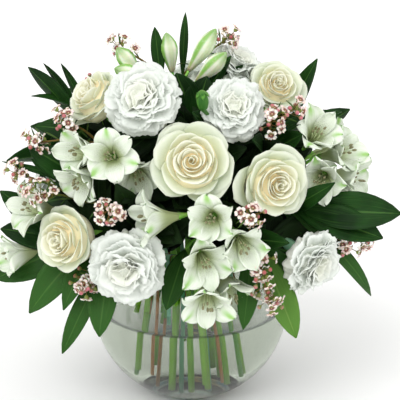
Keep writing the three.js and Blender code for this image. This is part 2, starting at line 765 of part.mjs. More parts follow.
// Radii of the stems, and each calyx by its distance along the stem from the bloom and its radius.
// The bent part of a stem ends a little before its calyx
const ROSE_STEM = 2.6;
const CARNATION_STEM = 1.9;
const UMBEL_STEM = 2.6;
const WAX_STEM = 1.7;
const LEAFY_STEM = 1.8;
const PEDICEL = 1.5;
const ROSE_CALYX = [[-12, 3], [-5, 6.4], [0, 6.8]];
const CARNATION_CALYX = [[-25, 3], [-19, 6], [0, 6.6]];
const BEFORE_CALYX = 4;

// How far the leaves of a stem arch, by their length: the first one, and more for each next one
const FIRST_ARCH = 0.03;
const NEXT_ARCH = 0.04;

// Stem ends are gathered first, because the neck is shared out among all of them
const stems = [];

function roseParts(rose) {
  const tall = rose.width * ROSE_HEIGHT;
  const matrix = placed(rose.at, rose.facing, 0, ROSE_FACE * tall);
  const facing = facingOf(matrix);
  const base = new THREE.Vector3().setFromMatrixPosition(matrix);
  add(rose.name, COLOURS.rose, FLOWER, roseBloom(rose.width).transform(matrix.elements),
    bloomRoom(rose.width, tall).transform(matrix.elements));
  stems.push({
    node: `${rose.name}_stem`, colour: COLOURS.rose_stem, end: base.addScaledVector(facing, -1),
    growing: facing, radius: ROSE_STEM, sides: 5, deep: true, calyx: ROSE_CALYX,
  });
}

function carnationParts(carnation) {
  const tall = carnation.width * CARNATION_HEIGHT;
  const matrix = placed(carnation.at, carnation.facing, 0, CARNATION_FACE * tall);
  const facing = facingOf(matrix);
  const base = new THREE.Vector3().setFromMatrixPosition(matrix);
  add(carnation.name, COLOURS.carnation, FLOWER, carnationBloom(carnation.width).transform(matrix.elements),
    bloomRoom(carnation.width, tall).transform(matrix.elements));
  stems.push({
    node: `${carnation.name}_stem`, colour: COLOURS.carnation_stem, end: base.addScaledVector(facing, -1),
    growing: facing, radius: CARNATION_STEM, sides: 4, calyx: CARNATION_CALYX,
    deep: carnation.at[1] < 0 && carnation.at[2] > 200,
  });
}

ROSES.forEach(roseParts);
CARNATIONS.forEach(carnationParts);

// A stem that grows from the middle of the neck towards its fork
function forked(node, colour, radius, fork, rest) {
  const end = vec(fork);
  const growing = end.clone().sub(new THREE.Vector3(0, 0, NECK_HEIGHT)).normalize();
  stems.push({ node, colour, radius, end, growing, sides: 4, ...rest });
}

UMBELS.forEach((umbel) => {
  forked(umbel.name, COLOURS.alstroemeria, UMBEL_STEM, umbel.fork, { deep: umbel.deep, umbel });
});
WAX.forEach((spray) => {
  forked(spray.name, COLOURS.wax, WAX_STEM, spray.fork, { deep: spray.deep, spray });
});
FOLIAGE.forEach((leafy) => {
  const [first, second] = leafy.run.map(vec);
  stems.push({
    node: leafy.name, colour: COLOURS.leaf, end: first, growing: second.clone().sub(first).normalize(),
    radius: LEAFY_STEM, sides: 4, deep: leafy.deep, leafy,
  });
});

const places = neckPlaces(stems.map((entry) => entry.end));
stems.forEach((entry, number) => {
  const route = fullRoute(places[number], entry.end, entry.growing, entry.deep);
  const { node, colour, radius, sides } = entry;
  if (entry.leafy) route.push(vec(entry.leafy.run[1]));
  const radii = route.map(() => radius);
  if (entry.calyx) {
    const ahead = (point) => point.clone().sub(entry.end).dot(entry.growing);
    while (ahead(route.at(-1)) > entry.calyx[0][0] - BEFORE_CALYX) {
      route.pop();
      radii.pop();
    }
    entry.calyx.forEach(([along, wide]) => {
      route.push(entry.end.clone().addScaledVector(entry.growing, along));
      radii.push(wide);
    });
  }
  add(node, colour, MAIN_STEM, stalk(route, radii, sides), stalk(route, radii, sides, GAP));
  if (entry.umbel) umbelParts(entry);
  if (entry.spray) {
    entry.spray.bunches.forEach((bunch, k) => {
      const seed = 40 * number + 9 * k;
      add(node, colour, SIDE_STEM, waxTwig(bunch, entry.end), waxTwig(bunch, entry.end, GAP));
      add(node, colour, FLOWER, waxBunch(bunch, entry.end, seed), waxBunch(bunch, entry.end, seed, GAP));
    });
  }
  if (entry.leafy) {
    const [first, second] = entry.leafy.run.map(vec);
    entry.leafy.leaves.forEach((leaf, k) => {
      const root = first.clone().lerp(second, leaf.share).toArray();
      const leafShape = [root, leaf.to, leaf.width, FIRST_ARCH + NEXT_ARCH * k];
      add(node, colour, FOLIAGE_RANK, leafBody(...leafShape), leafBody(...leafShape, GAP));
    });
  }
});

function umbelParts({ node, colour, end, umbel }) {
  const pedicel = (to, growing) => {
    const span = end.distanceTo(to);
    const bend = new THREE.CubicBezierCurve3(
      end, end.clone().lerp(to, 0.36), to.clone().addScaledVector(growing, -0.35 * span), to);
    const route = bend.getPoints(2);
    const radii = route.map(() => PEDICEL);
    add(node, colour, SIDE_STEM, stalk(route, radii, 3), stalk(route, radii, 3, GAP));
  };
  umbel.florets.forEach((floret) => {
    const matrix = placed(floret.at, floret.facing, floret.roll, FLORET_FACE * FLORET_LENGTH);
    add(node, colour, SIDE_STEM, floretBody(matrix, end), wasm.Manifold.union([
      floretRoom().transform(matrix.elements), stalkRoom(matrix, end)]));
  });
  umbel.buds.forEach((bud) => {
    const [from, to] = [vec(bud.from), vec(bud.to)];
    pedicel(from, to.clone().sub(from).normalize());
    add(node, colour, FLOWER, budBody(from, to), budBody(from, to, GAP));
  });
  umbel.leaves.forEach((leaf) => {
    pedicel(vec(leaf.from), vec(leaf.to).sub(vec(leaf.from)).normalize());
    const leafShape = [leaf.from, leaf.to, leaf.width, NEXT_ARCH];
    add(node, colour, FOLIAGE_RANK, leafBody(...leafShape), leafBody(...leafShape, GAP));
  });
}

// Corners of a sphere about the bowl's middle, between two heights
function sphereArc(radius, low, high, steps) {
  const start = Math.asin((low - BOWL_MIDDLE) / radius);
  const end = Math.asin((high - BOWL_MIDDLE) / radius);
  return Array.from({ length: steps + 1 }, (_, k) => {
    const angle = mix(start, end, k / steps);
    return [radius * Math.cos(angle), BOWL_MIDDLE + radius * Math.sin(angle)];
  });
}

function bowlBody() {
  const inside = BOWL_RADIUS - GLASS;
  return turned([
    [0, 0],
    ...sphereArc(BOWL_RADIUS, 0, RIM_TOP, 7),
    ...sphereArc(inside, WATER_TOP, RIM_TOP, 3).reverse(),
    ...sphereArc(inside, FLOOR_TOP, WATER_TOP, 4).reverse().slice(1),
    [0, FLOOR_TOP],
  ], BOWL_SIDES);
}

function waterBody() {
  const edge = sphereArc(BOWL_RADIUS - GLASS, FLOOR_TOP, WATER_TOP, 4).map(([r, z]) => [r - 1.1 * GAP, z]);
  edge[0][1] += GAP;
  return turned([[0, FLOOR_TOP + GAP], ...edge, [0, WATER_TOP]], BOWL_SIDES);
}

const touching = (a, b) => [0, 1, 2].every((k) => a.min[k] < b.max[k] && b.min[k] < a.max[k]);

// What a part keeps once the room of the parts that it gives way to is taken out of it
function trimmed(part) {
  const box = part.body.boundingBox();
  const before = parts.filter((other) => other.node !== part.node
    && (other.rank < part.rank || (other.rank === part.rank && other.order < part.order))
    && touching(box, other.room.boundingBox()));
  if (before.length === 0) return part.body;
  return part.body.subtract(wasm.Manifold.union(before.map((other) => other.room)));
}

function largest(body) {
  return body.decompose().reduce((best, piece) => (piece.volume() > best.volume() ? piece : best));
}

// A named mesh from a closed solid
function mesh(name, body, colour, finish) {
  const { vertProperties, triVerts } = body.getMesh();
  const geometry = new THREE.BufferGeometry();
  geometry.setAttribute('position', new THREE.BufferAttribute(vertProperties, 3));
  geometry.setIndex(new THREE.BufferAttribute(triVerts, 1));
  geometry.computeVertexNormals();
  const material = new THREE.MeshStandardMaterial({ color: colour, ...finish });
  const made = new THREE.Mesh(geometry, material);
  made.name = name;
  return made;
}

// How far a face may move when small triangles along the cuts are taken together
const SMOOTHED = 0.15;

const centerpiece = new THREE.Group();
centerpiece.add(mesh('vase', bowlBody(), COLOURS.glass, { roughness: 0.05, metalness: 0 }));
const inWater = parts.filter((part) => part.rank === MAIN_STEM).map((part) => part.room);
const water = waterBody().subtract(wasm.Manifold.union(inWater));
centerpiece.add(mesh('water', largest(water), COLOURS.water, { roughness: 0.05, metalness: 0 }));
new Set(parts.map((part) => part.node)).forEach((node) => {
  const own = parts.filter((part) => part.node === node);
  const body = largest(wasm.Manifold.union(own.map(trimmed)).simplify(SMOOTHED));
  centerpiece.add(mesh(node, body, own[0].colour, { roughness: 0.6, metalness: 0 }));
});

export default centerpiece;
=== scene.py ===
import math

import bpy
import numpy as np
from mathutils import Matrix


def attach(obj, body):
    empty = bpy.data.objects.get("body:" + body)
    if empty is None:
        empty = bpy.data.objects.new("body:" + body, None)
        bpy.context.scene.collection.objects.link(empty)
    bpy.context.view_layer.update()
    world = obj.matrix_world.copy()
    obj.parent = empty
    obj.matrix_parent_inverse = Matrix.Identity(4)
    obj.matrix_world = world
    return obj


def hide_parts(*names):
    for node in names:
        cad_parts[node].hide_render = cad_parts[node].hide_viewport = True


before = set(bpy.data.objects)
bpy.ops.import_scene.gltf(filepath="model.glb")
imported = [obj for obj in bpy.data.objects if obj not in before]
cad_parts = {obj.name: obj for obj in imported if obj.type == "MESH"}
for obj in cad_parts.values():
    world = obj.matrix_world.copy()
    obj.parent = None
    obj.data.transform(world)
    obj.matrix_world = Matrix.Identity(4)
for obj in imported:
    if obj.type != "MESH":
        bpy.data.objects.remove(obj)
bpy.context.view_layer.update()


# ---------------------------------------------------------------------------------------------
# Camera, floor and light
# A product view from a little above the table, on a plain white floor under large soft boxes.
IMAGE_WIDTH, FOCAL_PIXELS, SENSOR_WIDTH = 400.0, 1398.0, 36.0
camera_data = bpy.data.cameras.new("camera")
camera_data.sensor_width = SENSOR_WIDTH
camera_data.lens = SENSOR_WIDTH * FOCAL_PIXELS / IMAGE_WIDTH
camera = bpy.data.objects.new("camera", camera_data)
camera.location = (0.0088, -1.1895, 0.6158)
camera.rotation_euler = (math.radians(70.0), 0.0, 0.0)
bpy.context.scene.collection.objects.link(camera)
bpy.context.scene.camera = camera


def soft_light(name, aim, spread, strength):
    """A broad even light from far away that shines along aim from a disc spread degrees wide."""
    lamp = bpy.data.lights.new(name, "SUN")
    lamp.angle = math.radians(spread)
    lamp.energy = strength
    box = bpy.data.objects.new(name, lamp)
    box.rotation_euler = (math.acos(-aim[2] / math.hypot(*aim)), 0.0, math.atan2(-aim[0], aim[1]))
    bpy.context.scene.collection.objects.link(box)


soft_light("key", (0.55, 0.75, -1.0), 40.0, 1.15)
soft_light("fill", (-0.9, 0.5, -0.7), 60.0, 0.45)

world = bpy.data.worlds.new("studio")
world.use_nodes = True
backdrop = world.node_tree.nodes["Background"]
backdrop.inputs["Color"].default_value = (1.0, 1.0, 1.0, 1.0)
backdrop.inputs["Strength"].default_value = 0.98
bpy.context.scene.world = world
bpy.context.scene.view_settings.view_transform = "Standard"


def srgb(text):
    """A colour as a shader takes it, from six hexadecimal digits of its screen colour."""
    parts = [int(text[k:k + 2], 16) / 255.0 for k in (0, 2, 4)]
    return (*(p / 12.92 if p <= 0.04045 else ((p + 0.055) / 1.055) ** 2.4 for p in parts), 1.0)


class Value:
    """A number, colour or vector that varies over a surface. Arithmetic adds Math nodes."""

    def __init__(self, paint, socket):
        self.paint, self.socket = paint, socket

    def math(self, operation, *others):
        return self.paint.node("ShaderNodeMath", {"operation": operation}, (self, *others))

    def output(self, number):
        return Value(self.paint, self.socket.node.outputs[number])

    def __add__(self, other):
        return self.math("ADD", other)

    def __sub__(self, other):
        return self.math("SUBTRACT", other)

    def __mul__(self, other):
        return self.math("MULTIPLY", other)

    def __rsub__(self, other):
        return self.paint.node("ShaderNodeMath", {"operation": "SUBTRACT"}, (other, self))

    __radd__, __rmul__ = __add__, __mul__

    def between(self, low, high):
        """0 at low, 1 at high, a smooth step between; low may be the greater."""
        return self.paint.node("ShaderNodeMapRange", {"interpolation_type": "SMOOTHSTEP"},
                               {"Value": self, "From Min": low, "From Max": high})


class Paint:
    """A material: one Principled shader with its uniform values, and the nodes that feed it."""

    def __init__(self, name, uniform):
        self.material = bpy.data.materials.new(name)
        self.material.use_nodes = True
        self.tree = self.material.node_tree
        self.shader = next(n for n in self.tree.nodes if n.type == "BSDF_PRINCIPLED")
        for socket, value in uniform.items():
            self.shader.inputs[socket].default_value = value

    def node(self, kind, settings, inputs, output=0):
        """Adds a node. Its settings come first, then a value or a link for each input. A
        colour is written as six hexadecimal digits."""
        made = self.tree.nodes.new(kind)
        for key, value in settings.items():
            setattr(made, key, value)
        for key, value in (inputs.items() if isinstance(inputs, dict) else enumerate(inputs)):
            if isinstance(value, Value):
                self.tree.links.new(value.socket, made.inputs[key])
            else:
                made.inputs[key].default_value = srgb(value) if isinstance(value, str) else value
        return Value(self, made.outputs[output])

    def form(self):
        return self.node("ShaderNodeAttribute", {"attribute_name": "form"}, {}, "Vector")

    def marks(self):
        """The piece's own coordinates: across, along and tone."""
        parts = self.node("ShaderNodeSeparateXYZ", {}, (self.form(),))
        return parts, parts.output(1), parts.output(2)

    def place(self):
        return self.node("ShaderNodeTexCoord", {}, {}, "Object")

    def height(self):
        return self.node("ShaderNodeSeparateXYZ", {}, (self.place(),)).output(2)

    def scaled(self, vector, factors):
        return self.node("ShaderNodeVectorMath", {"operation": "MULTIPLY"}, (vector, factors))

    def noise(self, scale, detail=2.0, stretch=None):
        """Noise by place, or by the piece's own coordinates, each times its stretch."""
        vector = self.scaled(self.form(), stretch) if stretch else self.place()
        return self.node("ShaderNodeTexNoise", {}, {"Vector": vector, "Scale": scale,
                                                    "Detail": detail}, "Fac")

    def coats(self, under, *coats):
        """A colour under coats. Each is a mask and the colour that shows where the mask is 1."""
        for mask, over in coats:
            under = self.node("ShaderNodeMix", {"data_type": "RGBA"},
                              {0: mask, 6: under, 7: over}, 2)
        return under

    def bump(self, height, distance, strength=1.0):
        self.feed("Normal", self.node("ShaderNodeBump", {}, {
            "Height": height, "Distance": distance, "Strength": strength}))

    def feed(self, socket, value):
        self.tree.links.new(value.socket, self.shader.inputs[socket])

    def colour(self, under, *coats):
        self.feed("Base Color", self.coats(under, *coats))


class Form:
    """Closed surfaces that are one piece: points, marks, and faces with the paint of each."""

    def __init__(self):
        self.points, self.marks, self.faces, self.count = [], [], [], 0

    def add(self, points, faces, marks, paint):
        """Points (n, 3), arrays of faces (m, 3) or (m, 4), marks (n, 3) and one paint."""
        self.points.append(points.reshape(-1, 3))
        self.marks.append(np.broadcast_to(marks, points.shape).reshape(-1, 3))
        self.faces += [(f.reshape(-1, f.shape[-1]) + self.count, paint) for f in faces]
        self.count += len(self.points[-1])

    def object(self, name, paints):
        mesh = bpy.data.meshes.new(name)
        points = np.concatenate(self.points)
        sizes = np.concatenate([np.full(len(f), f.shape[1]) for f, _ in self.faces])
        corners = np.concatenate([f.ravel() for f, _ in self.faces])
        numbers = np.concatenate([np.full(len(f), paints.index(p)) for f, p in self.faces])
        mesh.vertices.add(len(points))
        mesh.vertices.foreach_set("co", points.astype(np.float32).ravel())
        mesh.loops.add(len(corners))
        mesh.loops.foreach_set("vertex_index", corners.astype(np.int32))
        mesh.polygons.add(len(sizes))
        mesh.polygons.foreach_set("loop_start", (np.cumsum(sizes) - sizes).astype(np.int32))
        mesh.polygons.foreach_set("material_index", numbers.astype(np.int32))
        mesh.polygons.foreach_set("use_smooth", np.ones(len(sizes), bool))
        mesh.update(calc_edges=True)
        form = mesh.attributes.new("form", "FLOAT_VECTOR", "POINT")
        form.data.foreach_set("vector", np.concatenate(self.marks).astype(np.float32).ravel())
        for paint in paints:
            mesh.materials.append(paint.material)
        made = bpy.data.objects.new(name, mesh)
        bpy.context.scene.collection.objects.link(made)
        return made


floor_paint = Paint("floor", {"Roughness": 0.9, "Specular IOR Level": 0.1})
floor_paint.colour("f7f7f6", (floor_paint.noise(3.0), "fbfbfa"))
floor_form = Form()
floor_form.add(np.array([(-1.0, -1, 0), (1, -1, 0), (1, 1, 0), (-1, 1, 0)]) * 6 - (0, 0, 0.0004),
               [np.array([[0, 1, 2, 3]])], (0.0, 0.0, 0.0), floor_paint)
floor = floor_form.object("floor", [floor_paint])


# ---------------------------------------------------------------------------------------------
# Glass bowl
# A bubble bowl of blown clear glass: a flat ground base, a round belly and a fire-polished rim.
BOWL_RADIUS, BOWL_MIDDLE, GLASS, LIP = 0.090, 0.0825, 0.003, 0.0015
FLOOR_TOP, RIM_TOP, WATER_TOP = 0.007, 0.152, 0.087


def sphere_arc(radius, low, high, steps):
    """(radius, height) corners along a sphere about the bowl's middle, between two heights."""
    turn = np.linspace(math.asin((low - BOWL_MIDDLE) / radius),
                       math.asin((high - BOWL_MIDDLE) / radius), steps)
    return np.stack([radius * np.cos(turn), BOWL_MIDDLE + radius * np.sin(turn)], -1)


def skin(rings, first, last):
    """Closed surfaces of stacked rings (count, levels, sides, 3), which run counter-clockwise
    seen from the last, with a pole (count, 3) below the first ring and one over the last."""
    count, levels, sides, _ = rings.shape
    points = np.concatenate([rings.reshape(count, -1, 3), first[:, None], last[:, None]], 1)
    ring = np.arange(levels * sides).reshape(levels, sides)
    on = np.roll(ring, -1, 1)
    walls = np.stack([ring[:-1], on[:-1], on[1:], ring[1:]], -1).reshape(-1, 4)
    under, over = np.full(sides, levels * sides), np.full(sides, levels * sides + 1)
    bottom = np.stack([under, on[0], ring[0]], -1)
    top = np.stack([over, ring[-1], on[-1]], -1)
    step = (np.arange(count) * (levels * sides + 2))[:, None, None]
    return points, [walls + step, bottom + step, top + step]


def about_axis(out, wide, up, heading):
    """Points that lie out from an axis, wide to one side of it and up it, turned to a heading."""
    cos, sin = np.cos(heading), np.sin(heading)
    return np.stack(np.broadcast_arrays(out * cos - wide * sin, out * sin + wide * cos, up), -1)


def turned(profile, sides):
    """The skin of a profile of (radius, height) corners turned round Z. Its first and last
    corners lie on the axis."""
    angle = np.arange(sides) * 2 * np.pi / sides
    rings = about_axis(profile[1:-1, :1], 0, profile[1:-1, 1:], angle)
    poles = np.array([(0, 0, profile[0, 1]), (0, 0, profile[-1, 1])])
    return skin(rings[None], poles[:1], poles[1:])


def from_axis(paint):
    """A point's distance from the bowl's axis."""
    level = paint.scaled(paint.place(), (1.0, 1.0, 0.0))
    return paint.node("ShaderNodeVectorMath", {"operation": "LENGTH"}, (level,), 1)


outer_wall = sphere_arc(BOWL_RADIUS, 0.0012, RIM_TOP - LIP, 56)
inner_wall = sphere_arc(BOWL_RADIUS - GLASS, FLOOR_TOP + 0.003, RIM_TOP - LIP, 54)[::-1]
rim_middle = (outer_wall[-1] + inner_wall[0]) / 2
rim_turn = np.linspace(0.15, np.pi - 0.15, 9)
rim = rim_middle + LIP * np.stack([np.cos(rim_turn), np.sin(rim_turn)], -1)
foot = outer_wall[0] + 0.0012 * np.array([(-1.6, -1.0), (-0.7, -0.9), (-0.2, -0.45)])
well = inner_wall[-1] * (0.965, 1) + (0, -0.0014)
bowl_profile = np.concatenate([
    [(0, 0.0015), (0.028, 0.0013), (0.0315, 0.0)], foot, outer_wall, rim, inner_wall,
    [well, (0.033, FLOOR_TOP + 0.0004), (0.02, FLOOR_TOP), (0, FLOOR_TOP)]])
glass = Paint("clear glass", {"IOR": 1.46, "Transmission Weight": 1.0})
# Painted refraction image: the teal rings and amber streaks tinted into the foot stand in for the
# ground base as it shows through the glass.
swirl = glass.noise(40.0)
rings = (from_axis(glass) * 1100.0 + swirl * 9.0).math("SINE").between(-0.5, 0.8)
painted_foot_image = glass.height().between(0.0100, 0.0075) * from_axis(glass).between(0.045, 0.038)
glass.colour("f9fbfa", (painted_foot_image, glass.coats(
    "82c4dc", (rings, "eef8f2"), (swirl.between(0.53, 0.62), "fbcb78"))))
glass.feed("Roughness", glass.noise(60.0).between(0.5, 0.9) * 0.02)
glass.bump(glass.noise(14.0, 1.0), 0.0004, 0.25)
bowl_form = Form()
bowl_form.add(*turned(bowl_profile, 128), (0.0, 0.0, 0.0), glass)
bowl = bowl_form.object("glass_bowl", [glass])
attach(bowl, "root")
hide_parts("vase")


# ---------------------------------------------------------------------------------------------
# Water
# Still, faintly green water to the middle of the bowl, drawn up a little where it meets the
# glass. It reaches a hair into the glass, so that no film of air shows between the two.
CLIMB, INTO_GLASS = 0.0012, 0.0002
water_wall = sphere_arc(BOWL_RADIUS - GLASS + INTO_GLASS, FLOOR_TOP + 0.0022, WATER_TOP + CLIMB, 48)
reach = np.array([0.0006, 0.0018, 0.0038, 0.007, 0.012])
meniscus = np.stack([water_wall[-1, 0] - reach, WATER_TOP + CLIMB * np.exp(-reach / 0.0016)], -1)
water_profile = np.concatenate([
    [(0, FLOOR_TOP - INTO_GLASS), (0.02, FLOOR_TOP - INTO_GLASS), (0.033, FLOOR_TOP + INTO_GLASS)],
    water_wall, meniscus, [(0.05, WATER_TOP), (0.02, WATER_TOP), (0, WATER_TOP)]])
liquid = Paint("water", {"IOR": 1.17, "Roughness": 0.0, "Transmission Weight": 1.0})
# Painted shade: a dark band where the water climbs the glass, for the dark line that the meniscus
# shows.
waterline_shade = (liquid.height().between(WATER_TOP - CLIMB, WATER_TOP)
             * from_axis(liquid).between(0.0825, 0.0850))
liquid.colour("bec4b6", (waterline_shade, "6d776c"))
liquid.bump(liquid.noise(22.0), 0.0006, 0.3)
water_form = Form()
water_form.add(*turned(water_profile, 96), (0.0, 0.0, 0.0), liquid)
water = water_form.object("still_water", [liquid])
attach(water, "root")
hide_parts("water")


# ---------------------------------------------------------------------------------------------
# How the arrangement stands
# Forty-two stems cross the neck of the bowl as a loose twisted bundle, and each bends to its
# flower or fork. The deep stems reach down to the base, and the others end under the water.
def metres(millimetres):
    """Millimetres divided by 1000."""
    return np.array(millimetres) / 1000


def flower(name, at, facing, width):
    """A flower's row with its place and width in metres."""
    return name, metres(at), facing, metres(width)


# Places and sizes in the tables are in mm. A flower faces an azimuth and an elevation.
# Name, middle of the open face, facing, width across
ROSES = [flower(*row) for row in (
    ("rose_front", (2, -92, 250), (0, 27), 72),
    ("rose_right", (73, -90, 229), (20, 14), 64),
    ("rose_left", (-109, -82, 176), (-35, 10), 66),
    ("rose_upper_left", (-86, -28, 290), (-58, 42), 58),
    ("rose_upper_right", (77, 0, 291), (16, 38), 52),
    ("rose_back_left", (-72, 84, 240), (-140, 24), 68),
    ("rose_back_right", (84, 84, 236), (136, 22), 66),
    ("rose_back_low", (4, 118, 178), (178, 4), 70),
)]
CARNATIONS = [flower(*row) for row in (
    ("carnation_upper_left", (-39, -50, 290), (-10, 34), 68),
    ("carnation_upper_right", (37, -46, 281), (8, 34), 60),
    ("carnation_low_left", (-52, -95, 160), (-12, -5), 72),
    ("carnation_low_right", (103, -74, 155), (42, -12), 62),
    ("carnation_crown", (40, 34, 296), (60, 62), 58),
    ("carnation_back", (4, 84, 262), (176, 40), 66),
    ("carnation_back_left", (-122, 66, 176), (-118, 2), 66),
)]
# Name, fork, deep, florets (face, facing, roll), buds (from, to), leaves (from, to, width)
UMBELS = (
    ("alstroemeria_left", (-62, -38, 222), True,
     ((-66, -90, 254, -4, 18, 12), (-100, -66, 250, -52, 14, 40), (-96, -76, 224, -34, -16, 0),
      (-42, -76, 228, 14, -14, 30)), (), ()),
    ("alstroemeria_centre", (14, -48, 196), True,
     ((-38, -102, 202, -65, 2, 20), (17, -115, 206, -8, 10, 5), (46, -112, 179, 14, -8, 35)),
     (), ()),
    ("alstroemeria_low", (8, -54, 168), True,
     ((14, -113, 166, 12, -4, 15), (15, -114, 127, 0, -22, 0), (38, -94, 127, 32, -30, 25)),
     (),
     ((-4, -62, 160, -20, -106, 122, 22),)),
    ("alstroemeria_right", (88, -16, 212), True,
     ((112, -42, 262, 22, 40, 10), (140, -26, 238, 50, 20, 0), (150, -26, 212, 66, 2, 30),
      (112, -58, 220, -12, 2, 20)), (), ()),
    ("alstroemeria_far_left", (-98, -30, 172), False,
     ((-160, -52, 149, -60, 0, 10), (-142, -56, 196, -50, 18, 30)), (), ()),
    ("alstroemeria_top", (-8, 14, 262), False,
     (),
     ((-46, 8, 300, -64, 4, 323), (-40, 0, 296, -66, -6, 307), (-16, 20, 297, -21, 20, 333),
      (-1, 10, 301, 23, 9, 339), (6, 0, 294, 32, -4, 321)),
     ((-7, 26, 290, -4, 30, 348.7, 8), (-26, 10, 290, -31, 15, 339, 12))),
    ("alstroemeria_back_left", (-34, 66, 196), False,
     ((-38, 121, 222, -165, 14, 12), (-66, 114, 190, -152, -6, 30), (-44, 118, 150, -160, -20, 0)),
     (), ()),
    ("alstroemeria_back_right", (46, 64, 196), False,
     ((46, 121, 222, 164, 14, 40), (66, 116, 186, 152, -6, 10), (52, 116, 148, 158, -20, 0)),
     (), ()),
    ("alstroemeria_far_right", (92, 24, 190), False,
     ((142, 40, 226, 102, 20, 0), (148, 22, 190, 84, 0, 25), (126, 70, 178, 124, -8, 45)),
     (), ()),
)
# Name, fork, deep, bunches (middle, florets, buds)
WAX = (
    ("wax_left", (-78, -30, 246), True, ((-113, -46, 275, 3, 1), (-139, -46, 252, 3, 1))),
    ("wax_low_left", (-92, -50, 199), False, ((-154, -46, 227, 2, 1), (-134, -74, 216, 2, 1),
      (-62, -110, 212, 3, 1))),
    ("wax_centre", (-58, -46, 166), True, ((-94, -91, 134, 3, 2),)),
    ("wax_right", (44, -58, 198), True, ((50, -121, 212, 2, 1), (64, -106, 150, 3, 1),
      (70, -102, 122, 2, 2))),
    ("wax_far_right", (100, -34, 178), False, ((142, -60, 158, 2, 1), (160, -54, 166, 2, 1))),
    ("wax_upper_right", (68, -34, 252), False, ((70, -66, 284, 2, 2), (93, -52, 289, 1, 2))),
    ("wax_top", (-16, 30, 282), False, ((-68, 12, 326, 2, 1), (40, 30, 331, 2, 1))),
    ("wax_back", (-40, 48, 246), False, ((-34, 122, 252, 2, 1), (-98, 58, 276, 3, 1))),
)
# Name, first and last fork, deep, young leaves, leaves (share of the way, tip, width)
FOLIAGE = (
    ("ruscus_crown", (2, -6, 215, 3, -10, 262), False, 0,
     ((1, -12, -10, 304, 26), (0.88, 15, -6, 300, 28), (0.75, 36, 2, 316, 20),
      (0.63, 50, 20, 304, 18), (0.5, 2, -64, 284, 26))),
    ("ruscus_upper_left", (-52, 2, 215, -100, 2, 258), False, 0,
     ((1, -143, 10, 304, 18), (0.88, -130, 16, 306, 9), (0.75, -115, 20, 305, 9),
      (0.63, -140, 0, 280, 24), (0.5, -136, -12, 256, 24), (0.38, -112, 40, 276, 24),
      (0.7, -134, 22, 226, 28), (0.3, -128, -8, 208, 26))),
    ("ruscus_left", (-56, -26, 190, -84, -40, 212), False, 0,
     ((1, -138, -50, 250, 26), (0.79, -137, -44, 236, 20), (0.59, -163, -40, 233, 7),
      (0.4, -138, -4, 180, 30))),
    ("ruscus_low_left", (-54, -16, 166, -102, -34, 154), True, 0,
     ((1, -167, -32, 203, 26), (0.84, -168, -34, 168, 28), (0.69, -174, -40, 122, 34),
      (0.54, -142, -62, 99, 30), (0.38, -110, -80, 110, 24), (0.75, -150, 0, 148, 30),
      (0.5, -128, 14, 122, 28))),
    ("ruscus_low", (-40, -30, 164, -74, -58, 146), False, 0,
     ((1, -112, -84, 70, 18), (0.85, -78, -96, 92, 26))),
    ("ruscus_right", (48, -20, 182, 96, -46, 190), True, 0,
     ((1, 180.8, -70, 196, 34), (0.9, 166, -72, 174, 30), (0.78, 122, -84, 229, 16),
      (0.66, 136, -14, 136, 28), (0.8, 162, -40, 106, 14))),
    ("ruscus_low_right", (34, -34, 164, 62, -64, 160), False, 1,
     ((1, 92, -94, 90, 26), (0.7, 46, -94, 98, 20), (0.38, 84, -98, 180, 20),
      (0.9, 112, -46, 122, 26), (0.8, 94, -60, 128, 22))),
    ("ruscus_upper_right", (40, -14, 214, 74, -34, 242), False, 0,
     ((1, 96, -54, 262, 18), (0.64, 52, -76, 264, 22), (0.5, 136, 12, 262, 22))),
    ("ruscus_back_left", (-44, 34, 190, -86, 58, 206), False, 0,
     ((1, -152, 80, 228, 30), (0.9, -168, 24, 212, 28), (0.75, -116, 112, 206, 28),
      (0.6, -92, 108, 140, 28), (0.8, -142, 36, 186, 30), (0.65, -128, 52, 244, 26))),
    ("ruscus_back_right", (46, 34, 186, 86, 60, 198), False, 0,
     ((0.36, 114, 32, 306, 22), (1, 150, 76, 246, 30), (0.9, 142, 104, 206, 30),
      (0.75, 108, 112, 140, 30), (0.6, 138, 4, 138, 26))),
)
# A stem that leans this far or more crosses the neck at its rim
FULL_LEAN = math.radians(72)
NECK_HEIGHT, NECK_RADIUS, NECK_SPACING, ROUNDS = 0.128, 0.041, 0.010, 300
FOOT_SPREAD, FOOT_TWIST, FOOT_HEIGHT, FOOT_RISE = 1.36, math.radians(9), 0.010, 0.026
SHALLOW_FOOT, OVER_RIM, ROUTE_STEPS = 0.074, 0.185, 7
# Height of a bloom in widths, and how much of it lies below its open face
ROSE_HEIGHT, ROSE_FACE = 0.64, 0.62
CARNATION_HEIGHT, CARNATION_FACE = 0.58, 0.5


def unit(vectors):
    """Vectors divided by their lengths."""
    return vectors / np.linalg.norm(vectors, axis=-1, keepdims=True)


def facing_basis(facing, roll=0.0):
    """Columns right, up and forward of a flower that faces an azimuth and an elevation."""
    azimuth, elevation = np.radians(facing)
    forward = np.array((math.sin(azimuth) * math.cos(elevation),
                        -math.cos(azimuth) * math.cos(elevation), math.sin(elevation)))
    right = np.array((math.cos(azimuth), math.sin(azimuth), 0.0))
    up = np.cross(forward, right)
    turn = math.radians(roll)
    return np.stack([right * math.cos(turn) + up * math.sin(turn),
                     up * math.cos(turn) - right * math.sin(turn), forward], -1)


def bezier(corners, share):
    """Points of cubic Bezier curves with corners (..., 4, d) at shares (...) of their length."""
    s = share[..., None]
    return (corners[..., 0, :] * (1 - s) ** 3 + corners[..., 1, :] * 3 * s * (1 - s) ** 2
            + corners[..., 2, :] * 3 * s ** 2 * (1 - s) + corners[..., 3, :] * s ** 3)


def flower_end(bloom, height, face):
    """Where a stem meets a bloom: back from the face by its height's share, and 1 mm."""
    _, at, facing, width = bloom
    forward = facing_basis(facing)[:, 2]
    return at - forward * (face * height * width + 0.001), forward


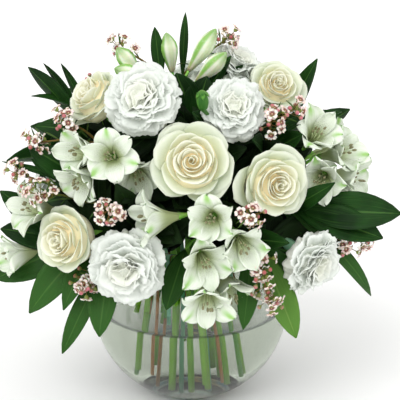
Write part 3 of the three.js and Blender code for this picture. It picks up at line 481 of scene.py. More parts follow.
FIRST_UMBEL = len(ROSES + CARNATIONS)
FIRST_SPRAY = FIRST_UMBEL + len(UMBELS)
FIRST_LEAFY = FIRST_SPRAY + len(WAX)
stem_ends = [flower_end(rose, ROSE_HEIGHT, ROSE_FACE) for rose in ROSES]
stem_ends += [flower_end(carnation, CARNATION_HEIGHT, CARNATION_FACE) for carnation in CARNATIONS]
stem_ends += [(metres(fork), unit(metres(fork) - (0, 0, NECK_HEIGHT)))
              for _, fork, *_ in UMBELS + WAX]
stem_ends += [(metres(run[:3]), unit(metres(run[3:]) - metres(run[:3]))) for _, run, *_ in FOLIAGE]
stem_deep = ([True] * len(ROSES) + [at[1] < 0 and at[2] > 0.2 for _, at, _, _ in CARNATIONS]
             + [row[2] for row in UMBELS + WAX + FOLIAGE])


def neck_places(ends):
    """Where each stem crosses the neck: the further out its end leans, the nearer the rim.
    Stems closer than the spacing push each other apart, over and over, within the radius."""
    places = []
    for end, _ in ends:
        lean = math.atan2(math.hypot(end[0], end[1]), end[2] - NECK_HEIGHT)
        reach = NECK_RADIUS * min(1.0, math.sin(lean / 2) / math.sin(FULL_LEAN / 2))
        places.append(end[:2] / math.hypot(end[0], end[1]) * reach)
    for _ in range(ROUNDS):
        for a, here in enumerate(places):
            for there in places[:a]:
                x, y = here - there
                apart = math.hypot(x, y)
                if apart < NECK_SPACING:
                    push = np.array((x, y)) * ((NECK_SPACING - apart) / 3 / apart)
                    here += push
                    there -= push
            here *= min(1.0, (NECK_RADIUS + 0.002) / math.hypot(here[0], here[1]))
    return places


stem_places = neck_places(stem_ends)


def stem_route(number, before=0.0):
    """Stations of a stem: its foot in the water, the neck, and a cubic Bezier curve that rises
    from there and comes into the end in the direction in which it grows. The curve stops where
    it comes within before of the end. A stem that ends low first rises over the rim."""
    (end, growing), place = stem_ends[number], stem_places[number]
    reach = np.linalg.norm(place) / NECK_RADIUS
    cos, sin = math.cos(FOOT_TWIST), math.sin(FOOT_TWIST)
    x, y = place
    foot = FOOT_SPREAD * np.array((x * cos - y * sin, x * sin + y * cos))
    neck = np.array((*place, NECK_HEIGHT))
    low = np.array((*foot, FOOT_HEIGHT + FOOT_RISE * reach ** 2))
    if not stem_deep[number]:
        low = neck + (low - neck) * (NECK_HEIGHT - SHALLOW_FOOT) / (NECK_HEIGHT - low[2])
    span = np.linalg.norm(end - neck)
    upright = end[2] < OVER_RIM
    rise = np.array((0, 0, 1.0)) if upright else np.array((*(place * 10), 1.0))
    corners = np.stack([neck, neck + rise * (0.72 if upright else 0.42) * span,
                        end - growing * 0.3 * span, end])
    curve = bezier(corners[None], np.linspace(0, 1, ROUTE_STEPS))
    curve = curve[: 1 + np.flatnonzero((curve - end) @ growing <= -before).max()]
    return np.concatenate([[low, (low + neck) / 2], curve])


# ---------------------------------------------------------------------------------------------
# Roses
# Cream garden roses, wide open: thin satin petals that wrap a tight spiral heart and roll back
# at their rims, greenish white outside and warm amber deep between the inner whorls, partly the
# petals' own colour and partly painted shade in the creases, with a painted highlight on the rims.
GOLDEN_ANGLE = math.radians(137.5)
ROSE_PETALS, SEPAL_THICKNESS = 28, 0.0005
# First and last radius of the stem; then up the calyx, heights over its end and radii there
ROSE_STEM, ROSE_CALYX = (0.0027, 0.0024), (
    (-0.012, 0.0030), (-0.008, 0.0056), (-0.003, 0.0066), (0.0005, 0.0050))


def through(stations, steps):
    """A smooth curve through stations (n, d): between two of them a cubic whose slope at
    each end is half the difference of that station's neighbours."""
    padded = np.concatenate([2 * stations[:1] - stations[1:2], stations,
                             2 * stations[-1:] - stations[-2:-1]])
    a, b, c, d = (padded[k:len(padded) - 3 + k, None] for k in range(4))
    s = (np.arange(steps) / steps)[None, :, None]
    curve = 0.5 * (2 * b + (c - a) * s + (2 * a - 5 * b + 4 * c - d) * s ** 2
                   + (3 * b - a - 3 * c + d) * s ** 3)
    return np.concatenate([curve.reshape(-1, stations.shape[1]), stations[-1:]])


def tube(route, radius, sides=8, steps=4):
    """Skin of a tube along a route (n, 3), of one radius or of one for each point. Its rings are
    square to the path, and their first corners start from the direction used least."""
    curve = through(np.column_stack([route, np.broadcast_to(radius, len(route))]), steps)
    path, radius = curve[:, :3], curve[:, 3]
    ahead = unit(np.gradient(path, axis=0))
    spare = np.linalg.svd(ahead)[2][-1]
    side = unit(np.cross(spare, ahead))
    over = np.cross(ahead, side)
    angle = np.arange(sides) * 2 * np.pi / sides
    cos, sin = np.cos(angle)[None, :, None], np.sin(angle)[None, :, None]
    rings = path[:, None] + radius[:, None, None] * (side[:, None] * cos + over[:, None] * sin)
    points, faces = skin(rings[None], path[:1] - ahead[:1] * radius[0] * 0.4,
                         path[-1:] + ahead[-1:] * radius[-1] * 0.4)
    length = np.concatenate([[0], np.cumsum(np.linalg.norm(np.diff(path, axis=0), axis=1))])
    along = np.concatenate([np.repeat(length, sides), length[[0, -1]]])
    around = np.concatenate([np.tile(angle, len(path)), [0, 0]])
    return points, faces, np.stack([around, along * 10, path[0, 0] * 90 + 0 * along], -1)


def grid(rows, columns):
    """A sheet's own coordinates: from -1 to 1 across, and from 0 to 1 along."""
    return np.linspace(-1, 1, columns)[None, None, :], np.linspace(0, 1, rows)[None, :, None]


def shell(front, thickness, across, along, tone):
    """Thin closed plates and their marks. front (sheets, rows, columns, 3) is the upper face,
    whose normal is the rows' step crossed with the columns'. The lower face lies a thickness
    below it. The thickness and each mark are one number or an array over the upper face."""
    sheets, rows, columns, _ = front.shape
    front = front[:, :, ::-1]
    thickness, *marks = (np.broadcast_to(x, (sheets, rows, columns))[:, :, ::-1]
                         for x in (thickness, across, along, tone))
    normal = unit(np.cross(np.gradient(front, axis=2), np.gradient(front, axis=1)) + 1e-15)
    back = front - normal * thickness[..., None]
    low, top = np.arange(2 * rows * columns).reshape(2, rows, columns)[::-1]
    edge = [np.concatenate([f[0, :-1], f[:-1, -1], f[-1, :0:-1], f[:0:-1, 0]])
            for f in (top, low)]
    upper = np.stack([top[:-1, :-1], top[:-1, 1:], top[1:, 1:], top[1:, :-1]], -1)
    lower = np.stack([low[:-1, :-1], low[1:, :-1], low[1:, 1:], low[:-1, 1:]], -1)
    wall = np.stack([np.roll(edge[0], -1), edge[0], edge[1], np.roll(edge[1], -1)], -1)
    faces = np.concatenate([f.reshape(-1, 4) for f in (upper, lower, wall)])
    step = (np.arange(sheets) * 2 * rows * columns)[:, None, None]
    marks = np.stack(marks, -1)
    return np.stack([front, back], 1), [faces + step], np.stack([marks, marks], 1)


def round_axis(axis, hint, turn):
    """Directions square to an axis, at turns (...) from the one that is square to hint too."""
    side = unit(np.cross(axis, hint))
    return side * np.cos(turn)[..., None] + np.cross(axis, side) * np.sin(turn)[..., None]


def stem_paint(name, dark, light, blush, painted_light_in_water):
    """Soft plant tissue: a green that drifts along the stem, fine lengthwise ribs, a blush,
    and painted light: a brighter colour where the stem stands in the water, in the shade of the
    glass."""
    paint = Paint(name, {"Roughness": 0.42, "Subsurface Weight": 0.05, "Specular IOR Level": 0.2,
                         "Subsurface Scale": 0.002})
    drift = paint.noise(2.0, stretch=(0.3, 1.2, 1.0))
    ribs = paint.noise(3.0, stretch=(2.2, 0.25, 1.0))
    paint.colour(dark, (drift.between(0.3, 0.7), light),
                 # Painted light: brighter inside the bowl, where the glass keeps the lamps from the
                 # stems
                 (paint.height().between(0.115, 0.085) * 0.8, painted_light_in_water),
                 (paint.noise(55.0).between(0.55, 0.8) * 0.5, blush))
    paint.feed("Roughness", 0.34 + ribs * 0.2)
    paint.bump(ribs, 0.0006, 0.5)
    return paint


def rose_petals(width, draw):
    """Petals on a golden-angle spiral, from a rolled bud over a cup of crescents to a few very
    broad outer ones. Along its length a petal follows a meridian, a Bezier curve of (radius,
    height) in half widths and heights. Across, it is carried round the axis by its half
    angle, with one side under and the other over its neighbours. Its top is rounded, and its
    lip rolls back."""
    order = np.arange(ROSE_PETALS)
    share = order / (ROSE_PETALS - 1)
    rim = np.interp(order, (0, 1, 3, 13, 18, 21, 27), (0.04, 0.075, 0.14, 0.44, 0.64, 0.88, 0.975))
    top = np.interp(order, (0, 3, 12, 18, 22, 27), (0.90, 0.92, 0.97, 0.86, 0.72, 0.58))
    lip_width = np.interp(order, (0, 2, 13, 18, 21, 27), (0.02, 0.045, 0.085, 0.13, 0.25, 0.25))
    spread = np.interp(order, (0, 2, 13, 19, 27), (160, 108, 74, 60, 54))
    tuck = np.interp(order, (0, 3, 13, 20, 27), (0.55, 0.26, 0.12, 0.06, 0.05))
    share, rim, top, lip_width, spread, tuck = (
        x[:, None, None] for x in (share, rim, top, lip_width, spread, tuck))
    jitter = draw.uniform(-1, 1, (10, ROSE_PETALS, 1, 1))
    rim = rim * (1 + 0.05 * jitter[0])
    top = top + 0.035 * jitter[1]
    across, rise = grid(14, 17)
    rise = rise ** 0.9
    lobe = np.abs(across - 0.12 * jitter[2] * (1 - across ** 2))
    aside = across - 0.3 * jitter[2]
    point = 0.040 * np.clip(share * 2 - 0.7, 0, 1) * np.exp(-(aside / 0.16) ** 2)
    notch = 0.010 * share * np.sin(across * 14 + 5 * jitter[5])
    along = rise * (0.96 - (0.42 - 0.16 * share) * lobe ** (2.5 + 0.8 * share) + point + notch)
    wall = rim - lip_width
    corners = np.stack([
        np.stack([0.02 + 0.06 * share, 0.16 - 0.14 * share], -1),
        np.stack([wall * 0.45 + 0.06 + 0.26 * share ** 2, 0.22 - 0.24 * share + 0 * wall], -1),
        np.stack([wall * (1.0 - 0.20 * share ** 2), top * (0.62 + 0.02 * share)], -1),
        np.stack([wall, top], -1)], -2)
    radius, height = np.moveaxis(bezier(corners, along), -1, 0)
    lip = np.clip((along - 0.62) / 0.35, 0, 1)
    radius = radius + lip_width * lip ** 1.7 * (1 + 0.4 * jitter[3])
    height = height - (0.015 + 0.085 * share) * lip ** 3 * (1 + 0.5 * jitter[4])
    side = np.abs(across) ** 4 * share * along
    radius = radius + 0.03 * side
    height = height - 0.06 * side * (1 + 0.5 * jitter[9])
    wave = np.sin(across * (4.2 + 1.6 * jitter[5]) + 3 * jitter[6]) * along ** 3
    height = height + (0.010 + 0.032 * share) * wave
    flat = 0.05 * share * (0.4 - across ** 2) * np.clip(along * 1.4, 0, 1)
    radius = radius * (1 + tuck * across * np.sin(np.pi * np.clip(along, 0.2, 0.75)) - flat)
    radius = radius + (0.006 + 0.012 * share) * np.cos(across * 5.5 + 3 * jitter[7]) * along ** 3
    radius = radius - np.maximum(radius - 0.97, 0) * 0.7
    opened = np.sin(0.5 * np.pi * np.minimum(along / 0.72, 1))
    half_angle = np.radians(spread) * (0.42 + 0.58 * opened)
    heading = order[:, None, None] * GOLDEN_ANGLE + 0.16 * jitter[8] + across * half_angle
    shift = 0.025 * (1 - share) * draw.uniform(-1, 1, (2, 1, 1, 1))
    front = np.stack([(radius * np.cos(heading) + shift[0]) * width / 2,
                      (radius * np.sin(heading) + shift[1]) * width / 2,
                      height * ROSE_HEIGHT * width], -1)
    return front, 0.0006 - 0.0003 * along, *np.broadcast_arrays(across, along, share)


# The petals that have come away: the heading of each and how far it reaches, of its length
LOOSE_PETALS = {
    "rose_right": ((186, 1.28), (56, 1.12)), "rose_upper_right": ((-24, 1.14), (205, 1.12)),
    "rose_upper_left": ((250, 1.16),), "rose_front": ((118, 1.06), (-52, 1.05)),
    "rose_back_left": ((20, 1.16), (215, 1.10)), "rose_back_right": ((160, 1.18),),
    "rose_back_low": ((-40, 1.12), (128, 1.10)),
}


def loose_petal(petal, order, heading, reach):
    """A petal that has come away from the rest: it is turned round the axis to a heading, and
    lengthened that way by its reach."""
    turn = math.radians(heading) - order * GOLDEN_ANGLE
    cos, sin = math.cos(turn), math.sin(turn)
    spin = np.array([(cos, -sin, 0), (sin, cos, 0), (0, 0, 1)])
    way = np.array((math.cos(math.radians(heading)), math.sin(math.radians(heading)), 0))
    petal = petal @ spin.T
    return petal + (petal @ way * (reach - 1))[..., None] * way - (0, 0, 0.0015)


def rose_core(width):
    """The closed petals under the rims: a dome turned about the axis, from a profile of
    (radius, height) in half widths and heights. Its tone falls from the side to the top."""
    profile = np.array([
        (0, 0.02), (0.30, 0.04), (0.60, 0.14), (0.70, 0.32), (0.66, 0.46), (0.57, 0.57),
        (0.44, 0.67), (0.30, 0.73), (0.18, 0.74), (0.07, 0.72), (0, 0.71)])
    points, faces = turned(through(profile, 3) * (width / 2, 0.58 * width), 36)
    across = np.hypot(points[..., 0], points[..., 1]) / (width / 2)
    return points, faces, np.stack([across, 0.55 + 0 * across, across * 0.55], -1)


rose_skin = Paint("rose petal", {"Roughness": 0.5, "Subsurface Weight": 0.2,
                                 "Subsurface Radius": (1.0, 0.9, 0.6),
                                 "Subsurface Scale": 0.004, "Sheen Weight": 0.08})
_, along, tone = rose_skin.marks()
warm = rose_skin.coats("f9d79c", (tone.between(0.02, 0.50), "f8f4d2"))
# The warm amber deep in the bloom: partly the petals' own warmer bases, partly painted shade in the
# creases between the whorls.
deep_warmth_and_shade = along.between(0.76, 0.48) * tone.between(1.20, 0.35)
veins = rose_skin.noise(3.0, stretch=(9.0, 0.8, 60.0))
rose_skin.colour("edecd0", (tone.between(0.35, 0.95), "ccd6b8"), (deep_warmth_and_shade, warm),
                 # Painted highlight: the rolled rims lightened where they catch the light
                 (along.between(0.80, 0.97) * 0.4, "f7f8ea"),
                 (veins.between(0.45, 0.75) * 0.10, "dfdfb4"))
rose_skin.feed("Roughness", 0.42 + veins * 0.2)
rose_skin.bump(veins, 0.0004, 0.4)
rose_green = stem_paint("rose stem", "4f8f2c", "86bf50", "98a850", "a6ec3a")


def sepals(end, growing, count, length, width, sides):
    """Narrow leaves round the top of a calyx. Along its length a sepal runs outwards ever more
    slowly, falls back down the stem by the square of it, and narrows to a blunt point."""
    turn = (np.arange(count) * 2 * np.pi / count)[:, None, None]
    u, v = grid(7, 5)
    outward = round_axis(growing, (0.31, 0.12, 0.94), turn)
    level = np.cross(growing, outward)
    reach = sides + length * (0.75 * v - 0.15 * v ** 2)
    fall = -length * (0.75 * v ** 2 - 0.12 * u ** 2 * (1 - v))
    half = width / 2 * ((1 - v) ** 0.7 * (0.55 + 1.2 * v * (1 - v) * 2) + 0.02)
    front = (end + outward * reach[..., None] + growing * fall[..., None]
             + level * (half * u)[..., None])
    return shell(front, SEPAL_THICKNESS, u, v, 0.4)


def flower_stalk(number, radii, calyx):
    """A flower's stem and its calyx. The stem's curve stops 4 mm before the calyx."""
    end, growing = stem_ends[number]
    route = stem_route(number, 0.004 - calyx[0][0])
    return tube([*route, *(end + growing * up for up, _ in calyx)],
                [*np.linspace(*radii, len(route)), *(radius for _, radius in calyx)], 10)


for number, (name, at, facing, width) in enumerate(ROSES):
    basis, draw = facing_basis(facing), np.random.default_rng(100 + number)
    base = at - basis[:, 2] * ROSE_FACE * ROSE_HEIGHT * width
    petals = rose_petals(width, draw)
    bloom_form = Form()
    bloom_form.add(*shell(base + petals[0] @ basis.T, *petals[1:]), rose_skin)
    for k, (heading, reach) in enumerate(LOOSE_PETALS.get(name, ()), 1):
        petal, *rest = (x[-k:][:1] for x in petals)
        loose = loose_petal(petal, ROSE_PETALS - k, heading, reach)
        bloom_form.add(*shell(base + loose @ basis.T, *rest), rose_skin)
    points, faces, marks = rose_core(width)
    bloom_form.add(base + points @ basis.T, faces, marks, rose_skin)
    bloom = bloom_form.object(name + "_bloom", [rose_skin])
    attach(bloom, "root")
    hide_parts(name)
    stem_form = Form()
    stem_form.add(*flower_stalk(number, ROSE_STEM, ROSE_CALYX), rose_green)
    stem_form.add(*sepals(*stem_ends[number], 5, 0.017, 0.007, 0.0055), rose_green)
    stem = stem_form.object(name + "_stalk", [rose_green])
    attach(stem, "root")
    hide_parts(name + "_stem")


# ---------------------------------------------------------------------------------------------
# Carnations
# White carnations: a dense head of soft ruffled petals with toothed edges, which stand out of
# a tubular green calyx on a blue-green stem. One has a closed bud on a side shoot.
CARNATION_STEM, CARNATION_CALYX = (0.0019, 0.0019), (
    (-0.025, 0.0028), (-0.021, 0.0058), (-0.010, 0.0064), (0.004, 0.0062), (0.0075, 0.0045))
# Up the side shoot: places in mm, and the radius there in tenths of a mm
BUD_STEM, SHOOT_AND_BUD = "carnation_upper_right", np.array((
    (32, -30, 248, 14), (20, -48, 272, 14), (12.5, -62, 285, 20), (11.5, -64, 288.5, 40),
    (10.8, -66, 295, 52), (10.4, -68, 302, 38), (10.2, -68.5, 304.5, 14)))


def carnation_petals(width, draw):
    """Fans on a golden-angle spiral. Each follows a meridian from nearly upright at the heart
    to level and drooping outside, widens towards its toothed rim, is turned about its own
    middle line, and is thrown into pleats that grow with the distance along it."""
    count, columns = 38, 25
    share = (np.arange(count) / (count - 1))[:, None, None] ** 0.9
    jitter = draw.uniform(-1, 1, (10, count, 1, 1))
    across, rise = grid(11, columns)
    tooth = draw.uniform(0.2, 1, (count, 1, columns)) * (np.arange(columns) % 2)
    tooth = tooth * rise ** 9 * 0.042
    fan = 1 - 0.24 * np.abs(across) ** 2.4 + 0.03 * np.sin(across * 8 + 9 * jitter[8])
    along = np.clip(rise * fan - tooth + 0 * share, 0, 1)
    inner = np.array([(0.01, 0.30), (0.02, 0.60), (0.06, 0.80), (0.12, 0.96)])
    middle = np.array([(0.04, 0.20), (0.20, 0.60), (0.38, 0.84), (0.68, 0.90)])
    outer = np.array([(0.06, 0.10), (0.30, 0.46), (0.70, 0.66), (0.98, 0.44)])
    s = share[..., None]
    corners = (inner * (1 - s) * (1 - 2 * s) + middle * 4 * s * (1 - s) + outer * s * (2 * s - 1))
    radius, height = np.moveaxis(bezier(corners[:, :, None], along), -1, 0)
    half, tall = width / 2, CARNATION_HEIGHT
    radius = radius * (1 + 0.16 * jitter[0] * (1 - 0.6 * share)) + 0.05 * jitter[9] * (1 - share)
    height = height + 0.07 * jitter[1] * (1 - 0.3 * share) * along
    reach = half * (0.05 + (0.42 + 0.30 * share) * along ** 1.2)
    amplitude = half * (0.060 + 0.030 * share) * along ** 1.7
    ruffle = amplitude * (np.sin(across * (5.5 + 2.0 * jitter[2]) + 3 * jitter[3])
                          + 0.26 * np.sin(across * (12.0 + 3 * jitter[4]) + 3 * jitter[5]))
    slope = np.gradient(np.stack([radius * half, height * tall * width], -1), axis=1)
    normal = unit(slope + 1e-12)[..., ::-1] * (-1, 1)
    turn = jitter[6] * (0.70 - 0.40 * share)
    wide = across * reach * np.cos(turn) - ruffle * np.sin(turn)
    bent = across * reach * np.sin(turn) + ruffle * np.cos(turn) + 0.10 * half * across ** 2 * along
    out = radius * half - wide ** 2 / (2.4 * half) + normal[..., 0] * bent
    up = height * tall * width + normal[..., 1] * bent
    reached = np.hypot(out, wide)
    limit = half * (1 - 0.06 * np.clip(reached / half - 0.94, 0, 1))
    out, wide = (c * np.minimum(1, limit / np.maximum(reached, 1e-9)) for c in (out, wide))
    heading = np.arange(count)[:, None, None] * GOLDEN_ANGLE + 0.25 * jitter[7]
    front = about_axis(out, wide, np.clip(up, 0.02 * width, tall * width), heading)
    return front, 0.0005 - 0.0002 * along, across, along, share


def carnation_heart(width, draw):
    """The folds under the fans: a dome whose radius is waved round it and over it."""
    turn = np.linspace(0, 2 * np.pi, 97)[:-1][None, :]
    rise = np.linspace(0.05, 0.5 * np.pi - 0.05, 18)[:, None]
    phase = draw.uniform(0, 6, 4)
    folds = (1 + 0.03 * np.sin(9 * rise + 2 * turn) + np.cos(rise) * (
        0.07 * np.sin(11 * turn + 3 * np.sin(3 * rise + phase[0]))
        + 0.05 * np.sin(17 * turn - 6 * rise + phase[1])))
    reach = 0.37 * width * np.cos(rise) * folds
    top = (0.14 + 0.34 * np.sin(rise) * folds) * width
    rings = about_axis(reach, 0, top, turn)
    return skin(rings[None], np.array([(0, 0, 0.12)]) * width, np.array([(0, 0, 0.48)]) * width)


frill = Paint("carnation petal", {"Roughness": 0.6, "Subsurface Weight": 0.08,
                                  "Subsurface Radius": (1.0, 0.97, 0.93),
                                  "Subsurface Scale": 0.002, "Sheen Weight": 0.15})
_, along, tone = frill.marks()
pleats_and_shade = frill.noise(3.0, stretch=(7.0, 0.7, 60.0))
# Painted shade: grey along the pleats. The yellow-green towards the petals' base is partly their
# own colour and partly painted shade in the creases.
frill.colour("eaece0", (tone.between(0.0, 0.5), "e3e8e1"), (along.between(0.60, 0.20), "e2e7cf"),
             (pleats_and_shade.between(0.4, 0.8) * 0.20, "d0d9ca"))
frill.feed("Roughness", 0.5 + pleats_and_shade * 0.2)
frill.bump(pleats_and_shade, 0.0006, 0.4)
carnation_green = stem_paint("carnation stem", "6ba384", "98c8a2", "a8cf94", "88e0bc")
bud_green = stem_paint("carnation bud", "2a5f1e", "568f34", "8ab458", "568f34")

for number, (name, at, facing, width) in enumerate(CARNATIONS, len(ROSES)):
    basis, draw = facing_basis(facing), np.random.default_rng(200 + number)
    base = at - basis[:, 2] * CARNATION_FACE * CARNATION_HEIGHT * width
    front, *rest = carnation_petals(width, draw)
    bloom_form = Form()
    bloom_form.add(*shell(base + front @ basis.T, *rest), frill)
    points, faces = carnation_heart(width, draw)
    bloom_form.add(base + points @ basis.T, faces, (0.0, 0.9, 0.2), frill)
    bloom = bloom_form.object(name + "_bloom", [frill])
    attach(bloom, "root")
    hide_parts(name)
    end, growing = stem_ends[number]
    stem_form = Form()
    stem_form.add(*flower_stalk(number, CARNATION_STEM, CARNATION_CALYX), carnation_green)
    stem_form.add(*sepals(end - growing * 0.018, growing, 4, 0.008, 0.006, 0.0045),
                  carnation_green)
    if name == BUD_STEM:
        bud = metres(SHOOT_AND_BUD[:, :3])
        stem_form.add(*tube(bud, SHOOT_AND_BUD[:, 3] / 10000, 12), bud_green)
        stem_form.add(*sepals(bud[5], unit(bud[5] - bud[3]), 5, 0.005, 0.005, 0.0030), bud_green)
    stem = stem_form.object(name + "_stalk", [carnation_green, bud_green])
    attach(stem, "root")
    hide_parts(name + "_stem")


# ---------------------------------------------------------------------------------------------
# Leaves
# Broad leathery leaves, glossy dark green above and paler below, with a channelled midrib and
# fine parallel veins. Small ones fill the shade between the flowers, in a darker paint that is
# painted shade.
HEART = np.array((0.0, 0.0, 0.190))
LEAF_THICKNESS, LEAFY_STEM = 0.0006, (0.0019, 0.0013)
# Rows and columns of a leaf's sheet
BROAD, SMALL = (13, 9), (9, 5)


def leaf_sheets(leaves, rows, columns):
    """Leaves (root, tip, width, arch, tone). A leaf's face turns up and to the side of the
    bouquet where it grows. Its half width is a rounded sine of the distance along it, pointed
    at the tip, and it arches and folds up along its midrib."""
    root, tip, width, arch, tone = (np.array(x)[:, None, None] for x in zip(*leaves))
    run = tip - root
    length = np.linalg.norm(run, axis=-1, keepdims=True)
    face = unit(tip - HEART) * 0.4 + np.concatenate(
        [0 * tip[..., :1], np.sign(tip[..., 1:2]) * 0.8, 0 * tip[..., :1] + 0.5], -1)
    face = unit(face - run * (face * run).sum(-1, keepdims=True) / length ** 2)
    level = np.cross(run / length, face)
    u, v = grid(rows, columns)
    half = width / 2 * np.maximum(np.sin(np.pi * np.minimum(v, 0.995) ** 1.1) ** 0.7, 0.04)
    wave = 0.05 * half * np.sin(9 * v + 40 * tone) * u ** 2
    lift = (4 * arch * length[..., 0] * v * (1 - v) + 0.28 * half * u ** 2
            - 0.10 * half * np.exp(-(u / 0.12) ** 2) + wave)
    front = root + run * v[..., None] + face * lift[..., None] + level * (u * half)[..., None]
    return shell(front, LEAF_THICKNESS, u, v, tone)


def leaf_paint(name, dark, light, young, rib, gloss):
    """A leaf: light and dark patches, a younger green by its tone, parallel veins that run
    along it, and a pale midrib."""
    paint = Paint(name, {"Roughness": gloss, "Specular IOR Level": 0.12, "Subsurface Weight": 0.04,
                         "Subsurface Scale": 0.002})
    across, _, tone = paint.marks()
    veins = paint.noise(3.0, 1.0, stretch=(9.0, 0.5, 9.0))
    patches = paint.noise(45.0)
    midrib = across.math("ABSOLUTE").between(0.09, 0.02) * 0.55
    paint.colour(dark, (patches.between(0.3, 0.7), light), (tone.between(0.2, 1.0), young),
                 (veins.between(0.5, 0.8) * 0.3, rib), (midrib, rib))
    paint.feed("Roughness", gloss + veins * 0.18)
    paint.bump(veins, 0.0006, 0.6)
    return paint


dark_leaf = leaf_paint("ruscus leaf", "0d280a", "1a4012", "325c23", "4b7633", 0.32)
# A darker copy of the leaf paint for the inner leaves: painted shade.
shade_leaf = leaf_paint("inner leaf in painted shade", "091506", "12260b", "192f10", "27441c", 0.5)
fresh_leaf = leaf_paint("young leaf", "28521a", "3d6826", "588336", "7da050", 0.38)
leafy_green = stem_paint("leafy stem", "3a8a2c", "63b444", "8ab452", "7cd43c")

# Each bloom as a ball (middle, radius), which the inner leaves keep clear of
bloom_balls = [(at - facing_basis(facing)[:, 2] * width * 0.22, width * 0.52)
               for _, at, facing, width in ROSES + CARNATIONS]
bloom_balls += [(metres(floret[:3]) - facing_basis(floret[3:5])[:, 2] * 0.012, 0.021)
                for _, _, _, florets, _, _ in UMBELS for floret in florets]


def inner_leaves(route, count, near, far, draw):
    """Leaves that fill the shade behind the flowers. Each springs from the stem above the
    neck, towards a place on a copy of the bouquet's dome, near to far of its size, on the
    stem's own side, and is kept where its outer half stays out of the blooms."""
    heads = unit(route[-1] * (1, 1, 0) + (0, 0, 0.03))
    dome, shortest, longest = np.array((0.128, 0.106, 0.094)), 0.024, 0.105
    kept = []
    for _ in range(400):
        turn = math.atan2(heads[1], heads[0]) + draw.uniform(-1.2, 1.2)
        rise = draw.uniform(-0.45, 1.45)
        toward = np.array((math.cos(turn) * math.cos(rise), math.sin(turn) * math.cos(rise),
                           math.sin(rise)))
        tip = HEART + dome * toward * draw.uniform(near, far)
        root = route[draw.integers(3, len(route))]
        span = np.linalg.norm(tip - root)
        clear = all(np.linalg.norm(root + (tip - root) * share - middle) > radius * room
                    for middle, radius in bloom_balls for share, room in ((0.75, 0.8), (1.0, 1.02)))
        if clear and shortest < span < longest:
            kept.append((root, tip, draw.uniform(0.024, 0.036), draw.uniform(0.02, 0.12),
                         draw.uniform()))
        if len(kept) == count:
            break
    return kept


for number, (name, run, _, young, places) in enumerate(FOLIAGE, FIRST_LEAFY):
    first, second = metres(run).reshape(2, 3)
    draw = np.random.default_rng(400 + number)
    route = np.concatenate([stem_route(number), [second]])
    leafy_form = Form()
    leafy_form.add(*tube(route, np.linspace(*LEAFY_STEM, len(route))), leafy_green)
    leaves = []
    for k, (share, x, y, z, width) in enumerate(places):
        low = min(max((175 - z) / 70, 0), 1)
        leaves.append((first + (second - first) * share, metres((x, y, z)), metres(width),
                       0.03 + 0.04 * k, low * 0.7 + 0.3 * draw.uniform()))
    leafy_form.add(*leaf_sheets(leaves[young:], *BROAD), dark_leaf)
    if young:
        leafy_form.add(*leaf_sheets(leaves[:young], *BROAD), fresh_leaf)
    inner = inner_leaves(route, 22, 0.78, 1.04, draw) + inner_leaves(route, 14, 0.40, 0.78, draw)
    leafy_form.add(*leaf_sheets(inner, *SMALL), shade_leaf)
    piece = leafy_form.object(name + "_stem_and_leaves",
                              [dark_leaf, leafy_green, shade_leaf, fresh_leaf])
    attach(piece, "root")
    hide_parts(name)


# ---------------------------------------------------------------------------------------------
# Alstroemerias
# Lilies of the Incas in white: three broad outer tepals with a green blotch and a darker point,
# three narrow inner ones dashed with olive, and six curved stamens in a tube on a thin stalk.
FLORET_DEPTH, FLORET_FACE, BUD_WIDTH = 0.040, 0.84, 0.0165
UMBEL_STEM, FLORET_STALK, BUD_STALK, LEAF_STALK = 0.0026, 0.0016, 0.0014, 0.0012


def tepals(base, basis, draw):
    """Six tepals from the base. Along it a tepal follows a Bezier meridian out of the tube and
    over the mouth, and its half width rises slowly and then rounds off at the tip. It is
    hollow across, like a spoon, and each one leans and waves a little in its own way."""
    broad = (np.arange(6) % 2 == 0).astype(float)[:, None, None]
    jitter = draw.uniform(-1, 1, (5, 6, 1, 1))
    u, v = grid(17, 11)
    v = 1 - (1 - v) ** 1.5
    along = v * (0.975 - 0.03 * np.abs(u) ** 2 * v ** 6) + 0 * broad
    corners = np.array([(0.0022, 0.0005), (0.0034, 0.0160), (0.0120, 0.0290), (0.0240, 0.0375)])
    radius, height = np.moveaxis(bezier(corners[None, None, None], along), -1, 0)
    shut = draw.uniform(0, 0.22)
    radius = radius * (0.96 + 0.04 * broad + 0.05 * jitter[0]) * (1 - shut * along ** 2)
    radius = radius - 0.0006 * (1 - broad)
    height = height + 0.0045 * jitter[1] * along ** 3 + 0.0012 * (1 - broad) * along
    wide = 0.0078 + 0.0034 * broad + 0.0006 * jitter[4]
    grown = np.sin(0.5 * np.pi * np.clip(v / (0.72 - 0.04 * broad), 0, 1))
    half = wide * (0.20 + 0.80 * grown ** 1.9)
    half = half * np.sqrt(1 - 0.975 * np.clip((v - 0.70) / 0.30, 0, 1) ** 2.6)
    lift = 0.30 * half * u ** 2 + 0.0022 * np.sin(3.2 * u + 3 * jitter[2]) * along ** 2
    lift = lift + 0.0010 * np.sin(14 * along + 6 * jitter[2]) * u ** 2 * along
    lift = lift - 0.0030 * (1 + 0.8 * jitter[0]) * (np.clip(along - 0.70, 0, 1) / 0.30) ** 2
    slope = unit(np.gradient(np.stack([radius, height], -1), axis=1) + 1e-12)
    out, up = radius - slope[..., 1] * lift, height + slope[..., 0] * lift
    heading = (np.radians(90) + np.arange(6) * np.pi / 3)[:, None, None] + 0.10 * jitter[3]
    front = about_axis(out, u * half, up, heading)
    return shell(base + front @ basis.T, 0.0006 - 0.00025 * along, u, along, broad)


